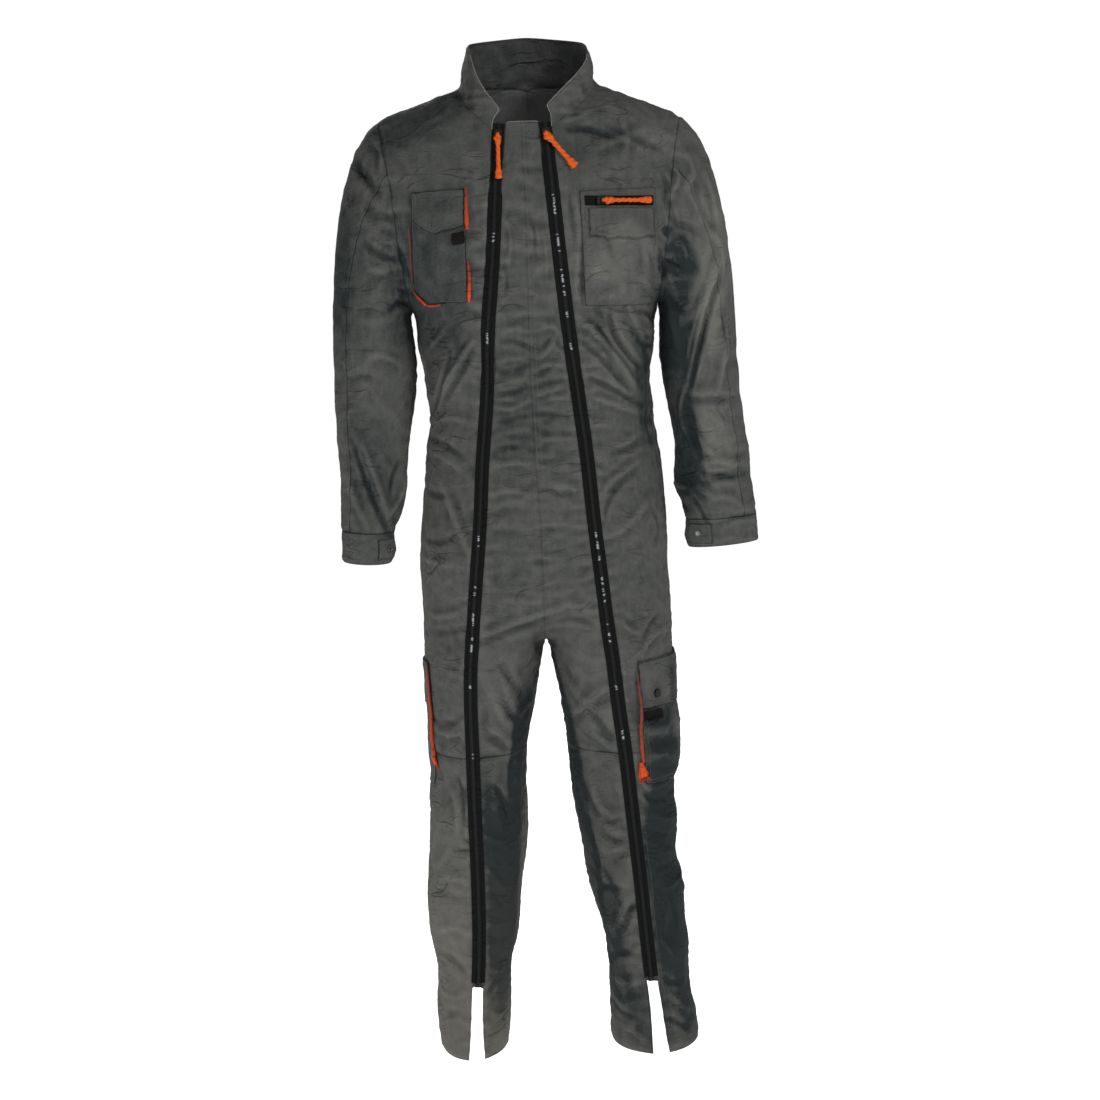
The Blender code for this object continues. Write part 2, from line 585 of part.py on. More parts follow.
def seam_gap(sheet):
    """Draws the border points of a grid sheet in by half the space of a seam."""
    width = sheet.width
    height = len(sheet.points) // width
    loop = list(range(width))
    loop += [r * width + width - 1 for r in range(1, height)]
    loop += [height * width - 1 - c for c in range(1, width)]
    loop += [r * width for r in range(height - 2, 0, -1)]
    count = len(loop)
    moves = []
    for k, i in enumerate(loop):
        before = (sheet.points[i] - sheet.points[loop[k - 1]]).normalized()
        after = (sheet.points[loop[(k + 1) % count]] - sheet.points[i]).normalized()
        inward = (before + after).normalized().cross(sheet.normals[i]).normalized()
        row, column = min(max(i // width, 1), height - 2), min(max(i % width, 1), width - 2)
        if inward.dot(sheet.points[row * width + column] - sheet.points[i]) < 0:
            inward = -inward
        turn = max(0.6, (before + after).length / 2)
        moves.append(inward * (SEAM / 2 / turn * sheet.mitre[i]))
    for i, move in zip(loop, moves):
        sheet.points[i] = sheet.points[i] + move


def rank(point):
    """Order by which two neighbours split a shared twisted edge along the same diagonal."""
    return point.z + point.y / 30 + point.x / 1000


def wall(name, sheet, low, high, colour, rough=0.9, metal=0.0):
    """Closed solid between two distances from a sheet, along its normals."""
    bm = bmesh.new()
    lines = list(zip(sheet.points, sheet.normals, sheet.mitre))
    under = [bm.verts.new(p + n * low * m) for p, n, m in lines]
    over = [bm.verts.new(p + n * high * m) for p, n, m in lines]
    edges = {}
    for t in sheet.triangles:
        bm.faces.new([over[i] for i in t])
        bm.faces.new([under[i] for i in reversed(t)])
        for a, b in zip(t, t[1:] + t[:1]):
            edges[(a, b)] = True
    for a, b in edges:
        if (b, a) in edges:
            continue
        if rank(sheet.points[a]) < rank(sheet.points[b]):
            bm.faces.new((over[b], over[a], under[a]))
            bm.faces.new((over[b], under[a], under[b]))
        else:
            bm.faces.new((over[b], over[a], under[b]))
            bm.faces.new((over[a], under[a], under[b]))
    loose = [v for v in bm.verts if not v.link_faces]
    bmesh.ops.delete(bm, geom=loose, context="VERTS")
    return add_object(name, bm, colour, rough, metal)


def moved(sheet, distance):
    """The sheet moved out along its normals."""
    result = Sheet([p + n * distance for p, n in zip(sheet.points, sheet.normals)], sheet.triangles)
    result.normals = sheet.normals
    return result


def joined(sheets):
    """Several sheets as one, welded where their points meet."""
    index, points, normals, triangles = {}, [], [], []
    for sheet in sheets:
        for p, n in zip(sheet.points, sheet.normals):
            if key(p) not in index:
                index[key(p)] = len(points)
                points.append(p)
                normals.append(n)
        triangles += [tuple(index[key(sheet.points[i])] for i in t) for t in sheet.triangles]
    result = Sheet(points, triangles)
    result.normals = normals
    return result


CLIP_REACH = 0.06       # facets whose middle is further out than this need no cutting
WELD = 0.0003


def clipped(sheet, planes, keep):
    """What is left of a sheet behind all the planes (point, outward normal)."""
    bm = bmesh.new()
    layer = bm.verts.layers.float_vector.new("outward")
    verts = {}
    for t in sheet.triangles:
        centre = sum((sheet.points[i] for i in t), Vector((0, 0, 0))) / 3
        if not keep(centre) or any((centre - p).dot(n) > CLIP_REACH for p, n in planes):
            continue
        for i in t:
            if i not in verts:
                verts[i] = bm.verts.new(sheet.points[i])
                verts[i][layer] = sheet.normals[i]
        bm.faces.new([verts[i] for i in t])
    for point, normal in planes:
        parts = bm.verts[:] + bm.edges[:] + bm.faces[:]
        bmesh.ops.bisect_plane(bm, geom=parts, plane_co=point, plane_no=normal, dist=1e-6,
                               clear_outer=True, clear_inner=False)
    bmesh.ops.remove_doubles(bm, verts=bm.verts[:], dist=WELD)
    bmesh.ops.triangulate(bm, faces=bm.faces[:])
    bm.verts.index_update()
    result = Sheet([v.co.copy() for v in bm.verts],
                   [tuple(v.index for v in f.verts) for f in bm.faces])
    result.normals = [v[layer].normalized() for v in bm.verts]
    bm.free()
    return result


# ---------------------------------------------------------------- objects
def finish(name, colour, rough, metal):
    material = bpy.data.materials.new(name)
    material.use_nodes = True
    shader = material.node_tree.nodes["Principled BSDF"]
    shader.inputs["Base Color"].default_value = (*colour, 1.0)
    shader.inputs["Roughness"].default_value = rough
    shader.inputs["Metallic"].default_value = metal
    return material


def add_object(name, bm, colour, rough=0.9, metal=0.0, place=None):
    """Object from a bmesh; place keeps its origin on a joint's axis."""
    if place is not None:
        bmesh.ops.transform(bm, matrix=place.inverted(), verts=bm.verts[:])
    mesh = bpy.data.meshes.new(name)
    bm.to_mesh(mesh)
    bm.free()
    obj = bpy.data.objects.new(name, mesh)
    if place is not None:
        obj.matrix_world = place
    bpy.context.collection.objects.link(obj)
    mesh.materials.append(finish(name, colour, rough, metal))
    mesh.shade_smooth()
    mesh.set_sharp_from_angle(angle=math.radians(40))
    return obj


# ---------------------------------------------------------------- cloth of trunk and legs
def rows_of(side, sign):
    """All rows of one side from the hem to the shoulder: (level, front curve, back curve)."""
    rows = [(level, *section(side, sign, level)) for level in levels()]
    split = RISE_ROWS - NECK_ROWS
    for j, (front, back) in enumerate(rising_rows(side, sign)):
        if j > 0:
            rows.append(("neck" if j > split else "rise", front, back))
    return rows


def lift_hem(point, level):
    """Raises the back of the hem, fading out up the leg."""
    if isinstance(level, str) or point.y <= 0:
        return point
    reach = 1 - (level - HEM_LEVEL) / HEM_LIFT_REACH
    if reach <= 0:
        return point
    depth = point.y / leg("back", level)
    return point + Vector((0, 0, HEM_LIFT * smooth(reach) * depth ** 1.5))


def zip_share(front, side, sign, level, offset):
    """Share of a front curve at the zip, offset outwards from its middle."""
    if isinstance(level, str):
        middle = rise("zip_" + side, front[0].z)
    else:
        middle = body("zip_" + side, level)
    return share_at_x(front, middle + sign * offset)


def slot_half(level):
    return leg("slot", level) if not isinstance(level, str) and level < KNEE_LEVEL else ZIP_HALF


def trunk_sheets(side, sign):
    """Grids of one side's panels, by node name."""
    rows = rows_of(side, sign)
    inner, outer, back = [], [], []
    for level, front_curve, back_curve in rows:
        half = slot_half(level)
        if level == "neck":
            edge = 0.0
        else:
            edge = zip_share(front_curve, side, sign, level, half)
            near = zip_share(front_curve, side, sign, level, -half)
            inner.append([along(front_curve, near * c / INNER_COLUMNS)
                          for c in range(INNER_COLUMNS + 1)])
        outer.append([along(front_curve, edge + (1 - edge) * c / OUTER_COLUMNS)
                      for c in range(OUTER_COLUMNS + 1)])
        back.append([lift_hem(along(back_curve, c / BACK_COLUMNS), level)
                     for c in range(BACK_COLUMNS + 1)])
        for row in (inner[-1], outer[-1]):
            row[:] = [lift_hem(p, level) for p in row]
    flat = levels()
    knee, waist = flat.index(KNEE_LEVEL), flat.index(WAIST_LEVEL)
    right = sign < 0
    return {
        "lower_leg_inner_" + side: grid_sheet(inner[:knee + 1], right),
        "front_inner_" + side: grid_sheet(inner[knee:], right),
        "lower_leg_outer_" + side: grid_sheet(outer[:knee + 1], right),
        "front_outer_" + side: grid_sheet(outer[knee:], right),
        "back_leg_" + side: grid_sheet(back[:waist + 1], not right),
        "back_upper_" + side: grid_sheet(back[waist:], not right),
    }


# ---------------------------------------------------------------- sleeves
def armhole_loop(sign, foot):
    """Armhole from the shoulder point down the front to the armpit and up the back."""
    front = [armhole_point(sign, "front", 1 - j / RISE_ROWS, foot) for j in range(RISE_ROWS)]
    back = [armhole_point(sign, "back", j / RISE_ROWS, foot) for j in range(RISE_ROWS + 1)]
    return front + back


def sleeve_ring(side, sign, level):
    """Ring of a sleeve with as many points as the armhole has."""
    read = {name: value(SLEEVES[side], SLEEVE_COLUMNS, name, level) for name in SLEEVE_COLUMNS[1:]}
    centre, half = (read["out"] + read["in"]) / 2, (read["out"] - read["in"]) / 2
    middle, deep = (read["front"] + read["back"]) / 2, (read["back"] - read["front"]) / 2
    ring = []
    for k in range(2 * RISE_ROWS + 1):
        angle = math.pi * k / RISE_ROWS
        ring.append(Vector((sign * (centre + half * math.cos(angle)),
                            middle - deep * math.sin(angle),
                            level + read["tilt"] * math.cos(angle))))
    return ring


def sleeve_rings(side, sign, foot):
    """Rings from the armhole over the shoulder cap and down to the open end."""
    hole = armhole_loop(sign, foot)
    first_level = SLEEVES[side][-1][0]
    first = sleeve_ring(side, sign, first_level)
    rings = []
    for step in range(CAP_STEPS):
        ring = []
        for k, (a, d) in enumerate(zip(hole, first)):
            low = (1 - math.cos(math.pi * k / RISE_ROWS)) / 2
            leave = CAP_WAY_TOP.lerp(CAP_WAY_UNDER, low) * Vector((sign, 1, 1))
            span = (d - a).length
            ring.append(bezier(a, a + leave * span * CAP_LEAVE,
                               d + Vector((0, 0, span * CAP_ARRIVE)), d, step / CAP_STEPS))
        rings.append(ring)
    end = SLEEVES[side][0][0]
    stops = ((first_level, CUFF_SEAM[side], ARM_STEPS), (CUFF_SEAM[side], end, CUFF_STEPS))
    rings.append(first)
    for high, low, steps in stops:
        rings += [sleeve_ring(side, sign, high + (low - high) * s / steps)
                  for s in range(1, steps + 1)]
    return rings


def from_inner_side(ring):
    """The ring started and ended at its inner side, where the cuff opens."""
    return ring[RISE_ROWS:-1] + ring[:RISE_ROWS + 1]


def sleeve_sheets(side, sign, foot):
    rings = sleeve_rings(side, sign, foot)
    sleeve, cuff = rings[:-CUFF_STEPS], rings[-CUFF_STEPS - 1:]
    front, back = SLEEVE_FRONT_SEAM, 2 * RISE_ROWS - SLEEVE_BACK_SEAM
    over = [ring[back:-1] + ring[:front + 1] for ring in sleeve]
    under = [ring[front:back + 1] for ring in sleeve]
    flip = sign < 0
    closed = [from_inner_side(ring) for ring in cuff]
    return {
        "upper_sleeve_" + side: grid_sheet(over, flip),
        "under_sleeve_" + side: grid_sheet(under, flip),
        "cuff_" + side: grid_sheet(closed, flip),
    }


# ---------------------------------------------------------------- collar
def collar_sheet(panels):
    """Stand collar on the neckline, from the right zip round the back to the left zip."""
    base = []
    for side, sign in SIDES:
        outer, back = panels["front_outer_" + side], panels["back_upper_" + side]
        half = []
        for sheet in (outer, back):
            rows = len(sheet.points) // sheet.width
            column = [sheet.points[r * sheet.width] for r in range(rows - NECK_ROWS - 1, rows)]
            half.append(column)
        line = half[0] + half[1][::-1][1:]
        shares = [k / (len(line) - 1) for k in range(len(line))]
        part = [(p, s, side, sign) for p, s in zip(line, shares)]
        base += part if side == "right" else part[::-1][1:]
    rows = []
    for r in range(COLLAR_ROWS + 1):
        up = r / COLLAR_ROWS
        row = []
        for p, share, side, sign in base:
            height = value(COLLAR, COLLAR_COLUMNS, "height_" + side, share)
            lean = value(COLLAR, COLLAR_COLUMNS, "lean_" + side, share)
            aim = value(COLLAR, COLLAR_COLUMNS, "aim", share)
            inward = Vector((-p.x, aim - p.y, 0)).normalized()
            direction = (Vector((0, 0, 1)) + inward * lean).normalized()
            bow = inward * -COLLAR_BOW * math.sin(up * math.pi)
            row.append(p + direction * height * up + bow)
        rows.append(row)
    return grid_sheet(rows, True)


# ---------------------------------------------------------------- zips
# Cross-section of a closed zip: across, and out from the cloth's face.
ZIP_TOP = 0.0014
ZIP_PROFILE = ((-0.0084, -0.0008), (-0.0040, ZIP_TOP), (0.0040, ZIP_TOP), (0.0084, -0.0008),
               (0.0079, -0.0018), (-0.0079, -0.0018))


def strip(name, line, across, normals, profile, colour):
    """A profile swept along a line of points."""
    bm = bmesh.new()
    rings = []
    for p, a, n in zip(line, across, normals):
        rings.append([bm.verts.new(p + a * u + n * v) for u, v in profile])
    for low, high in zip(rings, rings[1:]):
        for k in range(len(profile)):
            m = (k + 1) % len(profile)
            bm.faces.new((low[k], low[m], high[m]))
            bm.faces.new((low[k], high[m], high[k]))
    for ring in (rings[0], rings[-1]):
        for k in range(1, len(profile) - 1):
            bm.faces.new((ring[0], ring[k], ring[k + 1]))
    bmesh.ops.recalc_face_normals(bm, faces=bm.faces[:])
    return add_object(name, bm, colour, 0.55)


def zip_line(panels, side):
    """Middle, direction across and normal of a front zip, and the band between its panels."""
    line, across, normals, edges = [], [], [], []
    for part in ("lower_leg", "front"):
        inner, outer = panels[part + "_inner_" + side], panels[part + "_outer_" + side]
        rows = len(inner.points) // inner.width
        first = levels().index(ZIP_END) if part == "lower_leg" else 1
        for r in range(first, rows):
            i, o = r * inner.width + inner.width - 1, r * outer.width
            a, b = inner.points[i], outer.points[o]
            side_on = (b - a).normalized()
            n = inner.normals[i] + outer.normals[o]
            line.append((a + b) / 2)
            across.append(side_on)
            normals.append((n - side_on * n.dot(side_on)).normalized())
            edges.append((a, b))
    band = grid_sheet(edges, side == "right")
    band.normals = [n for n in normals for _ in range(2)]
    return line, across, normals, band


# ---------------------------------------------------------------- pieces on the panels
def box_planes(corners, view=Vector((0, -1, 0))):
    """Planes through the edges of a convex outline, seen along a level direction.

    corners are (across, level) pairs, where across is x as the eye sees it from the front."""
    right = Vector((-view.y, view.x, 0))
    points = [right * a + Vector((0, 0, z)) for a, z in corners]
    middle = sum(points, Vector((0, 0, 0))) / len(points)
    planes = []
    for a, b in zip(points, points[1:] + points[:1]):
        normal = (b - a).cross(view).normalized()
        if normal.dot(middle - a) > 0:
            normal = -normal
        planes.append((a, normal))
    return planes


def edge_plane(view, start, end, inside):
    """Plane along a view through a line seen along it; inside is a point to keep."""
    right = Vector((-view.y, view.x, 0))
    a = right * start[0] + Vector((0, 0, start[1]))
    b = right * end[0] + Vector((0, 0, end[1]))
    normal = (b - a).cross(view).normalized()
    return a, normal if normal.dot(inside - a) < 0 else -normal


def strip_outline(x0, z0, x1, z1, width):
    """Rectangle along a line, to its left as it runs."""
    length = math.hypot(x1 - x0, z1 - z0)
    dx, dz = -(z1 - z0) / length * width, (x1 - x0) / length * width
    return [(x0, z0), (x1, z1), (x1 + dx, z1 + dz), (x0 + dx, z0 + dz)]


def in_front(point):
    return point.y < 0


def outside_of(sign, back):
    """Test for the outer side of a leg, ahead of a given depth."""
    return lambda point: sign * point.x > 0.10 and point.y < back


def lay(name, base, planes, thickness, colour, keep=in_front):
    """Piece on a sheet, inside the given planes; returns the sheet of its upper face."""
    piece = clipped(base, planes, keep)
    wall(name, piece, LIFT, LIFT + thickness, colour)
    return moved(piece, LIFT + thickness)


def seat(sheet, start, direction):
    """Point and normal where a ray meets a sheet."""
    tree = BVHTree.FromPolygons(sheet.points, sheet.triangles)
    place, normal, _, _ = tree.ray_cast(start, direction)
    return place, normal


def disc(name, sheet, start, direction, size, colour):
    """Round fastener that lies on a sheet; size is its radius and height."""
    radius, height = size
    place, normal = seat(sheet, start, direction)
    bm = bmesh.new()
    bmesh.ops.create_cone(bm, cap_ends=True, segments=20, radius1=radius, radius2=radius * 0.86,
                          depth=height)
    turn = normal.to_track_quat("Z", "Y").to_matrix().to_4x4()
    move = Matrix.Translation(place + normal * (STUD_LIFT + height / 2))
    bmesh.ops.transform(bm, matrix=move @ turn, verts=bm.verts[:])
    return add_object(name, bm, colour, 0.35, 0.6)


# ---------------------------------------------------------------- zip sliders and pulls
SLIDER_WIDTH, SLIDER_LENGTH, SLIDER_PLATE = 0.0110, 0.0170, 0.0022
SLIDER_CORNER, SLIDER_SINK = 0.0025, 0.0002
EAR_THICK, EAR_HIGH, EAR_LENGTH, EAR_GAP = 0.0014, 0.0056, 0.0050, 0.0056
BAR_RADIUS, EYE_HOLE, EYE_RADIUS, EYE_SIDE_GAP = 0.0009, 0.0014, 0.0026, 0.0006
PULL_WIDTH, PULL_THICK = 0.0105, 0.0046
PULL_REST = 0.0024      # space under the grip, which clears the zip's teeth
SLIDER_LIFT = 0.0005


def frame_at(place, up, out):
    """Matrix with Y outwards, Z up the zip and X across it."""
    y = out.normalized()
    z = (up - y * up.dot(y)).normalized()
    matrix = Matrix((y.cross(z), y, z)).transposed().to_4x4()
    matrix.translation = place
    return matrix


def block(size, centre):
    bm = bmesh.new()
    bmesh.ops.create_cube(bm, size=1)
    bmesh.ops.scale(bm, vec=size, verts=bm.verts[:])
    bmesh.ops.translate(bm, vec=centre, verts=bm.verts[:])
    return bm


def barrel(radius, length, segments=10):
    """Cylinder along X round the origin."""
    bm = bmesh.new()
    bmesh.ops.create_cone(bm, cap_ends=True, segments=segments, radius1=radius, radius2=radius,
                          depth=length)
    bmesh.ops.rotate(bm, matrix=Matrix.Rotation(math.pi / 2, 3, "Y"), verts=bm.verts[:])
    return bm


def combine(first, others, operation="UNION"):
    """Boolean of bmeshes, as a new bmesh."""
    base = bpy.data.objects.new("work", bpy.data.meshes.new("work"))
    first.to_mesh(base.data)
    first.free()
    bpy.context.collection.objects.link(base)
    helpers = []
    for bm in others:
        tool = bpy.data.objects.new("tool", bpy.data.meshes.new("tool"))
        bm.to_mesh(tool.data)
        bm.free()
        bpy.context.collection.objects.link(tool)
        modifier = base.modifiers.new("join", "BOOLEAN")
        modifier.operation = operation
        modifier.object = tool
        modifier.solver = "EXACT"
        helpers.append(tool)
    bpy.context.view_layer.update()
    result = bmesh.new()
    result.from_object(base, bpy.context.evaluated_depsgraph_get())
    for obj in helpers + [base]:
        bpy.data.objects.remove(obj)
    bmesh.ops.triangulate(result, faces=result.faces[:])
    return result


def slider(name, place):
    """Top plate of a zip slider with two ears and a cross bar, which carries the pull."""
    plate = block((SLIDER_WIDTH, SLIDER_PLATE, SLIDER_LENGTH), (0, SLIDER_PLATE / 2, 0))
    corner_edges = [e for e in plate.edges
                    if abs(e.verts[0].co.y - e.verts[1].co.y) > SLIDER_PLATE / 2]
    bmesh.ops.bevel(plate, geom=corner_edges, offset=SLIDER_CORNER, segments=3, profile=0.5,
                    affect="EDGES", material=-1)
    middle = SLIDER_PLATE + EAR_HIGH / 2 - SLIDER_SINK
    ears = [block((EAR_THICK, EAR_HIGH, EAR_LENGTH), (s * (EAR_GAP + EAR_THICK) / 2, middle, 0))
            for s in (-1, 1)]
    bar = barrel(BAR_RADIUS, EAR_GAP + EAR_THICK)
    bmesh.ops.translate(bar, vec=(0, pivot_height(), 0), verts=bar.verts[:])
    bm = combine(plate, ears + [bar])
    bmesh.ops.transform(bm, matrix=place, verts=bm.verts[:])
    return add_object(name, bm, BLACK, 0.45, 0.2)


def pivot_height():
    return SLIDER_PLATE + EYE_RADIUS + LIFT


# Grip of a pull: share of the way from its neck to its tip, and size in shares of the whole.
PULL_NECK = 0.0060
PULL_STEM = 0.0015
PULL_SIDES = 8
GRIP_SECTIONS = ((0.03, 0.60), (0.09, 1.00), (0.15, 0.96), (0.27, 0.66), (0.74, 0.64),
                 (0.86, 0.94), (0.93, 1.00), (0.98, 0.80), (1.00, 0.50))


def pull(name, pivot, tip):
    """Dog-bone pull: an eye on the slider's bar, a short neck and a moulded grip.

    pivot is the joint's frame; tip is where the grip ends, in that frame."""
    eye = barrel(EYE_RADIUS, EAR_GAP - 2 * EYE_SIDE_GAP)
    hole = barrel(EYE_HOLE, EAR_GAP)
    neck = Vector((0, tip.normalized().y, -1)).normalized() * PULL_NECK
    rings = [(neck * 0.3, neck, PULL_STEM, PULL_STEM), (neck, neck, PULL_STEM, PULL_STEM)]
    for share, size in GRIP_SECTIONS:
        rings.append((neck.lerp(tip, share), tip - neck, PULL_WIDTH / 2 * size,
                      PULL_THICK / 2 * (0.55 + 0.45 * size)))
    bm = bmesh.new()
    loops = []
    for centre, direction, wide, thick in rings:
        direction = direction.normalized()
        side = Vector((1, 0, 0)) - direction * direction.x
        side.normalize()
        out = direction.cross(side)
        angles = [2 * math.pi * k / PULL_SIDES for k in range(PULL_SIDES)]
        loops.append([bm.verts.new(centre + side * wide * math.cos(a) + out * thick * math.sin(a))
                      for a in angles])
    for low, high in zip(loops, loops[1:]):
        for k in range(PULL_SIDES):
            m = (k + 1) % PULL_SIDES
            bm.faces.new((low[k], low[m], high[m], high[k]))
    bm.faces.new(loops[0])
    bm.faces.new(loops[-1])
    bmesh.ops.recalc_face_normals(bm, faces=bm.faces[:])
    solid = combine(bm, [eye])
    solid = combine(solid, [hole], "DIFFERENCE")
    bmesh.ops.transform(solid, matrix=pivot, verts=solid.verts[:])
    return add_object(name, solid, ORANGE, 0.5, 0.0, Matrix.Translation(pivot.translation))


def zip_pull(side_name, ground, place, up, out, length, swing):
    """Slider and pull of one zip; swing turns the grip sideways about the way outwards."""
    base = frame_at(place + out * SLIDER_LIFT, up, out)
    slider("slider_" + side_name, base)
    pivot = base @ Matrix.Translation((0, pivot_height(), 0))
    flat = pivot.to_3x3() @ Vector((math.sin(swing), 0, -math.cos(swing)))
    target, normal = seat(ground, pivot.translation + flat * length + out * 0.05, -out)
    target = target + normal * (PULL_THICK / 2 + PULL_REST)
    tip = pivot.inverted() @ target
    pull("pull_" + side_name, pivot, tip.normalized() * length)


# ---------------------------------------------------------------- the whole suit
def build_cloth():
    """All cloth panels; returns the grids by name."""
    panels = {}
    for side, sign in SIDES:
        panels.update(trunk_sheets(side, sign))
        foot = section(side, sign, ARMPIT_LEVEL)[0][-1]
        panels.update(sleeve_sheets(side, sign, foot))
    panels["collar"] = collar_sheet(panels)
    sleeves = ["upper_sleeve_", "under_sleeve_", "cuff_"]
    groups = [[panels[name + side] for name in sleeves] for side, _ in SIDES]
    groups.append([panels["collar"]])
    others = [sheet for group in groups for sheet in group]
    groups.append([sheet for sheet in panels.values() if sheet not in others])
    share_normals(groups)
    fold(panels.values())
    share_normals(groups)
    return panels


def chest_pocket_right(skin):
    """Patch pocket with a soft flap, orange piping and a bare brown tag."""
    body_sheet = lay("chest_pocket_right", skin, box_planes(CHEST_RIGHT_BODY), PATCH_CLOTH, TWILL)
    lay("chest_flap_right", body_sheet, box_planes(CHEST_RIGHT_FLAP), PATCH_CLOTH, TWILL)
    lay("chest_tag_right", body_sheet, box_planes(CHEST_RIGHT_TAG), TAG_CLOTH, BROWN)
    for name, *line in CHEST_PIPING:
        lay("piping_" + name, skin, box_planes(strip_outline(*line)), PIPING_CLOTH, ORANGE)


def chest_pocket_left(skin):
    """Patch pocket with a short zip across its top and a flap below the zip."""
    body_sheet = lay("chest_pocket_left", skin, box_planes(CHEST_LEFT_BODY), PATCH_CLOTH, TWILL)
    lay("chest_flap_left", body_sheet, box_planes(CHEST_LEFT_FLAP), PATCH_CLOTH, TWILL)
    tape = lay("chest_zip", body_sheet, box_planes(CHEST_ZIP), CHEST_ZIP_THICK, BLACK)
    start = Vector((CHEST_SLIDER[0], -0.3, CHEST_SLIDER[1]))
    place, normal = seat(tape, start, Vector((0, 1, 0)))
    zip_pull("chest", tape, place, Vector((-1, 0, 0)), normal, CHEST_PULL_LENGTH, 0.0)


def thigh_pocket(side, sign, skin):
    """Cargo pocket on the outside of a thigh, with its flap and the piping of its front edge."""
    turn = math.radians(THIGH_TURN[side])
    view = Vector((sign * math.sin(turn), -math.cos(turn), 0))
    beside = Vector((sign, 0, 0))
    top, bottom = THIGH_EDGE[side]
    middle = Vector((sign * 0.19, 0.0, (THIGH_BODY[0] + THIGH_BODY[1]) / 2))

    def outline(near, far, low, high):
        """Planes of a piece from near to far of the pocket's front edge, between two levels."""
        ahead = edge_plane(view, (top[0] + near, top[1]), (bottom[0] + near, bottom[1]), middle)
        if far is None:
            behind = edge_plane(beside, (sign * THIGH_BACK, 0), (sign * THIGH_BACK, -1), middle)
        else:
            point, normal = edge_plane(view, (top[0] + far, top[1]), (bottom[0] + far, bottom[1]),
                                       middle)
            behind = (point, -normal)
        return [ahead, behind, (Vector((0, 0, low)), Vector((0, 0, -1))),
                (Vector((0, 0, high)), Vector((0, 0, 1)))]

    def piece(name, base, planes, thickness, colour, back=THIGH_BACK + 0.01):
        return lay(name + side, base, planes, thickness, colour, outside_of(sign, back))

    step = sign * SEAM * 2
    low, high = THIGH_PIPING[side]
    body_sheet = piece("thigh_pocket_", skin, outline(0, None, *THIGH_BODY), PATCH_CLOTH, TWILL)
    flap = piece("thigh_flap_", body_sheet, outline(step, None, *THIGH_FLAP), PATCH_CLOTH, TWILL)
    piece("piping_thigh_", skin, outline(-sign * PIPING_WIDTH, -step, low, high),
          PIPING_CLOTH, ORANGE, 0.0)
    piece("piping_end_", skin, outline(-sign * PIPING_END[0], -step, low - PIPING_END[1], low - SEAM),
          PIPING_CLOTH, ORANGE, 0.0)
    return body_sheet, flap


def cuff_fasteners(panels):
    """Tab of each cuff, and the press stud that shows on the left one."""
    for side, sign in SIDES:
        view = Vector((-sign * math.sin(CUFF_TURN), -math.cos(CUFF_TURN), 0))
        centre = sum(panels["cuff_" + side].points, Vector((0, 0, 0)))
        centre /= len(panels["cuff_" + side].points)
        right = Vector((-view.y, view.x, 0))
        across, level = centre.dot(right), centre.z
        corners = [(across + u * CUFF_TAB[0] / 2, level + v * CUFF_TAB[1] / 2)
                   for u, v in ((-1, -1), (1, -1), (1, 1), (-1, 1))]
        tab = lay("cuff_tab_" + side, panels["cuff_" + side], box_planes(corners, view),
                  PATCH_CLOTH, TWILL, lambda p: (p - centre).dot(view) > 0)
        disc("cuff_stud_" + side, tab, centre + view * 0.3, -view, CUFF_STUD, STEEL)


def zip_parts(panels, skin):
    for side, sign in SIDES:
        line, across, normals, band = zip_line(panels, side)
        strip("zip_" + side, line, across, normals, ZIP_PROFILE, BLACK)
        i = max(k for k, p in enumerate(line) if p.z < SLIDER_LEVEL)
        share = (SLIDER_LEVEL - line[i].z) / (line[i + 1].z - line[i].z)
        place = line[i].lerp(line[i + 1], share)
        out = normals[i].lerp(normals[i + 1], share).normalized()
        up = (line[i + 1] - line[i]).normalized()
        zip_pull(side, joined([skin, band]), place + out * ZIP_TOP, up, out, PULL_LENGTH,
                 math.radians(PULL_SWING[side]))
        stop_frame = frame_at(line[0], line[1] - line[0], normals[0])
        stop = block(STOP_SIZE, (0, -0.0004, -STOP_SIZE[2] / 2 - SEAM * 1.5))
        bmesh.ops.transform(stop, matrix=stop_frame, verts=stop.verts[:])
        add_object("zip_stop_" + side, stop, BLACK, 0.5)


def main():
    for obj in list(bpy.data.objects):
        bpy.data.objects.remove(obj)
    panels = build_cloth()
    skin = joined([s for n, s in panels.items() if n != "collar"])
    for name, sheet in panels.items():
        thick = COLLAR_CLOTH if name == "collar" else CLOTH
        seam_gap(sheet)
        wall(name, sheet, -thick, 0.0, TWILL)
    zip_parts(panels, skin)
    chest_pocket_right(skin)
    chest_pocket_left(skin)
    for side, sign in SIDES:
        body_sheet, flap = thigh_pocket(side, sign, skin)
        if side == "left":
            start = Vector((THIGH_STUD[0], -0.4, THIGH_STUD[1]))
            disc("thigh_stud_left", flap, start, Vector((0, 1, 0)), THIGH_STUD_SIZE, BLACK)
            lay("thigh_tag_left", body_sheet, box_planes(THIGH_TAG), TAG_CLOTH, BROWN)
    cuff_fasteners(panels)


main()
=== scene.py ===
# %% [markdown]
# # A boiler suit in charcoal twill
# The suit is one hollow garment sewn from nineteen panels, with two zips from the neck to the
# shins. The solids that hold its size and its joints are loaded first. Everything after that
# dresses them: cloth with folds, pockets, teeth, thread and finishes.

# %% Load the solids
import math

import bmesh
import bpy
import numpy as np
from mathutils import Matrix, Vector, noise
from mathutils.bvhtree import BVHTree
from mathutils.kdtree import KDTree


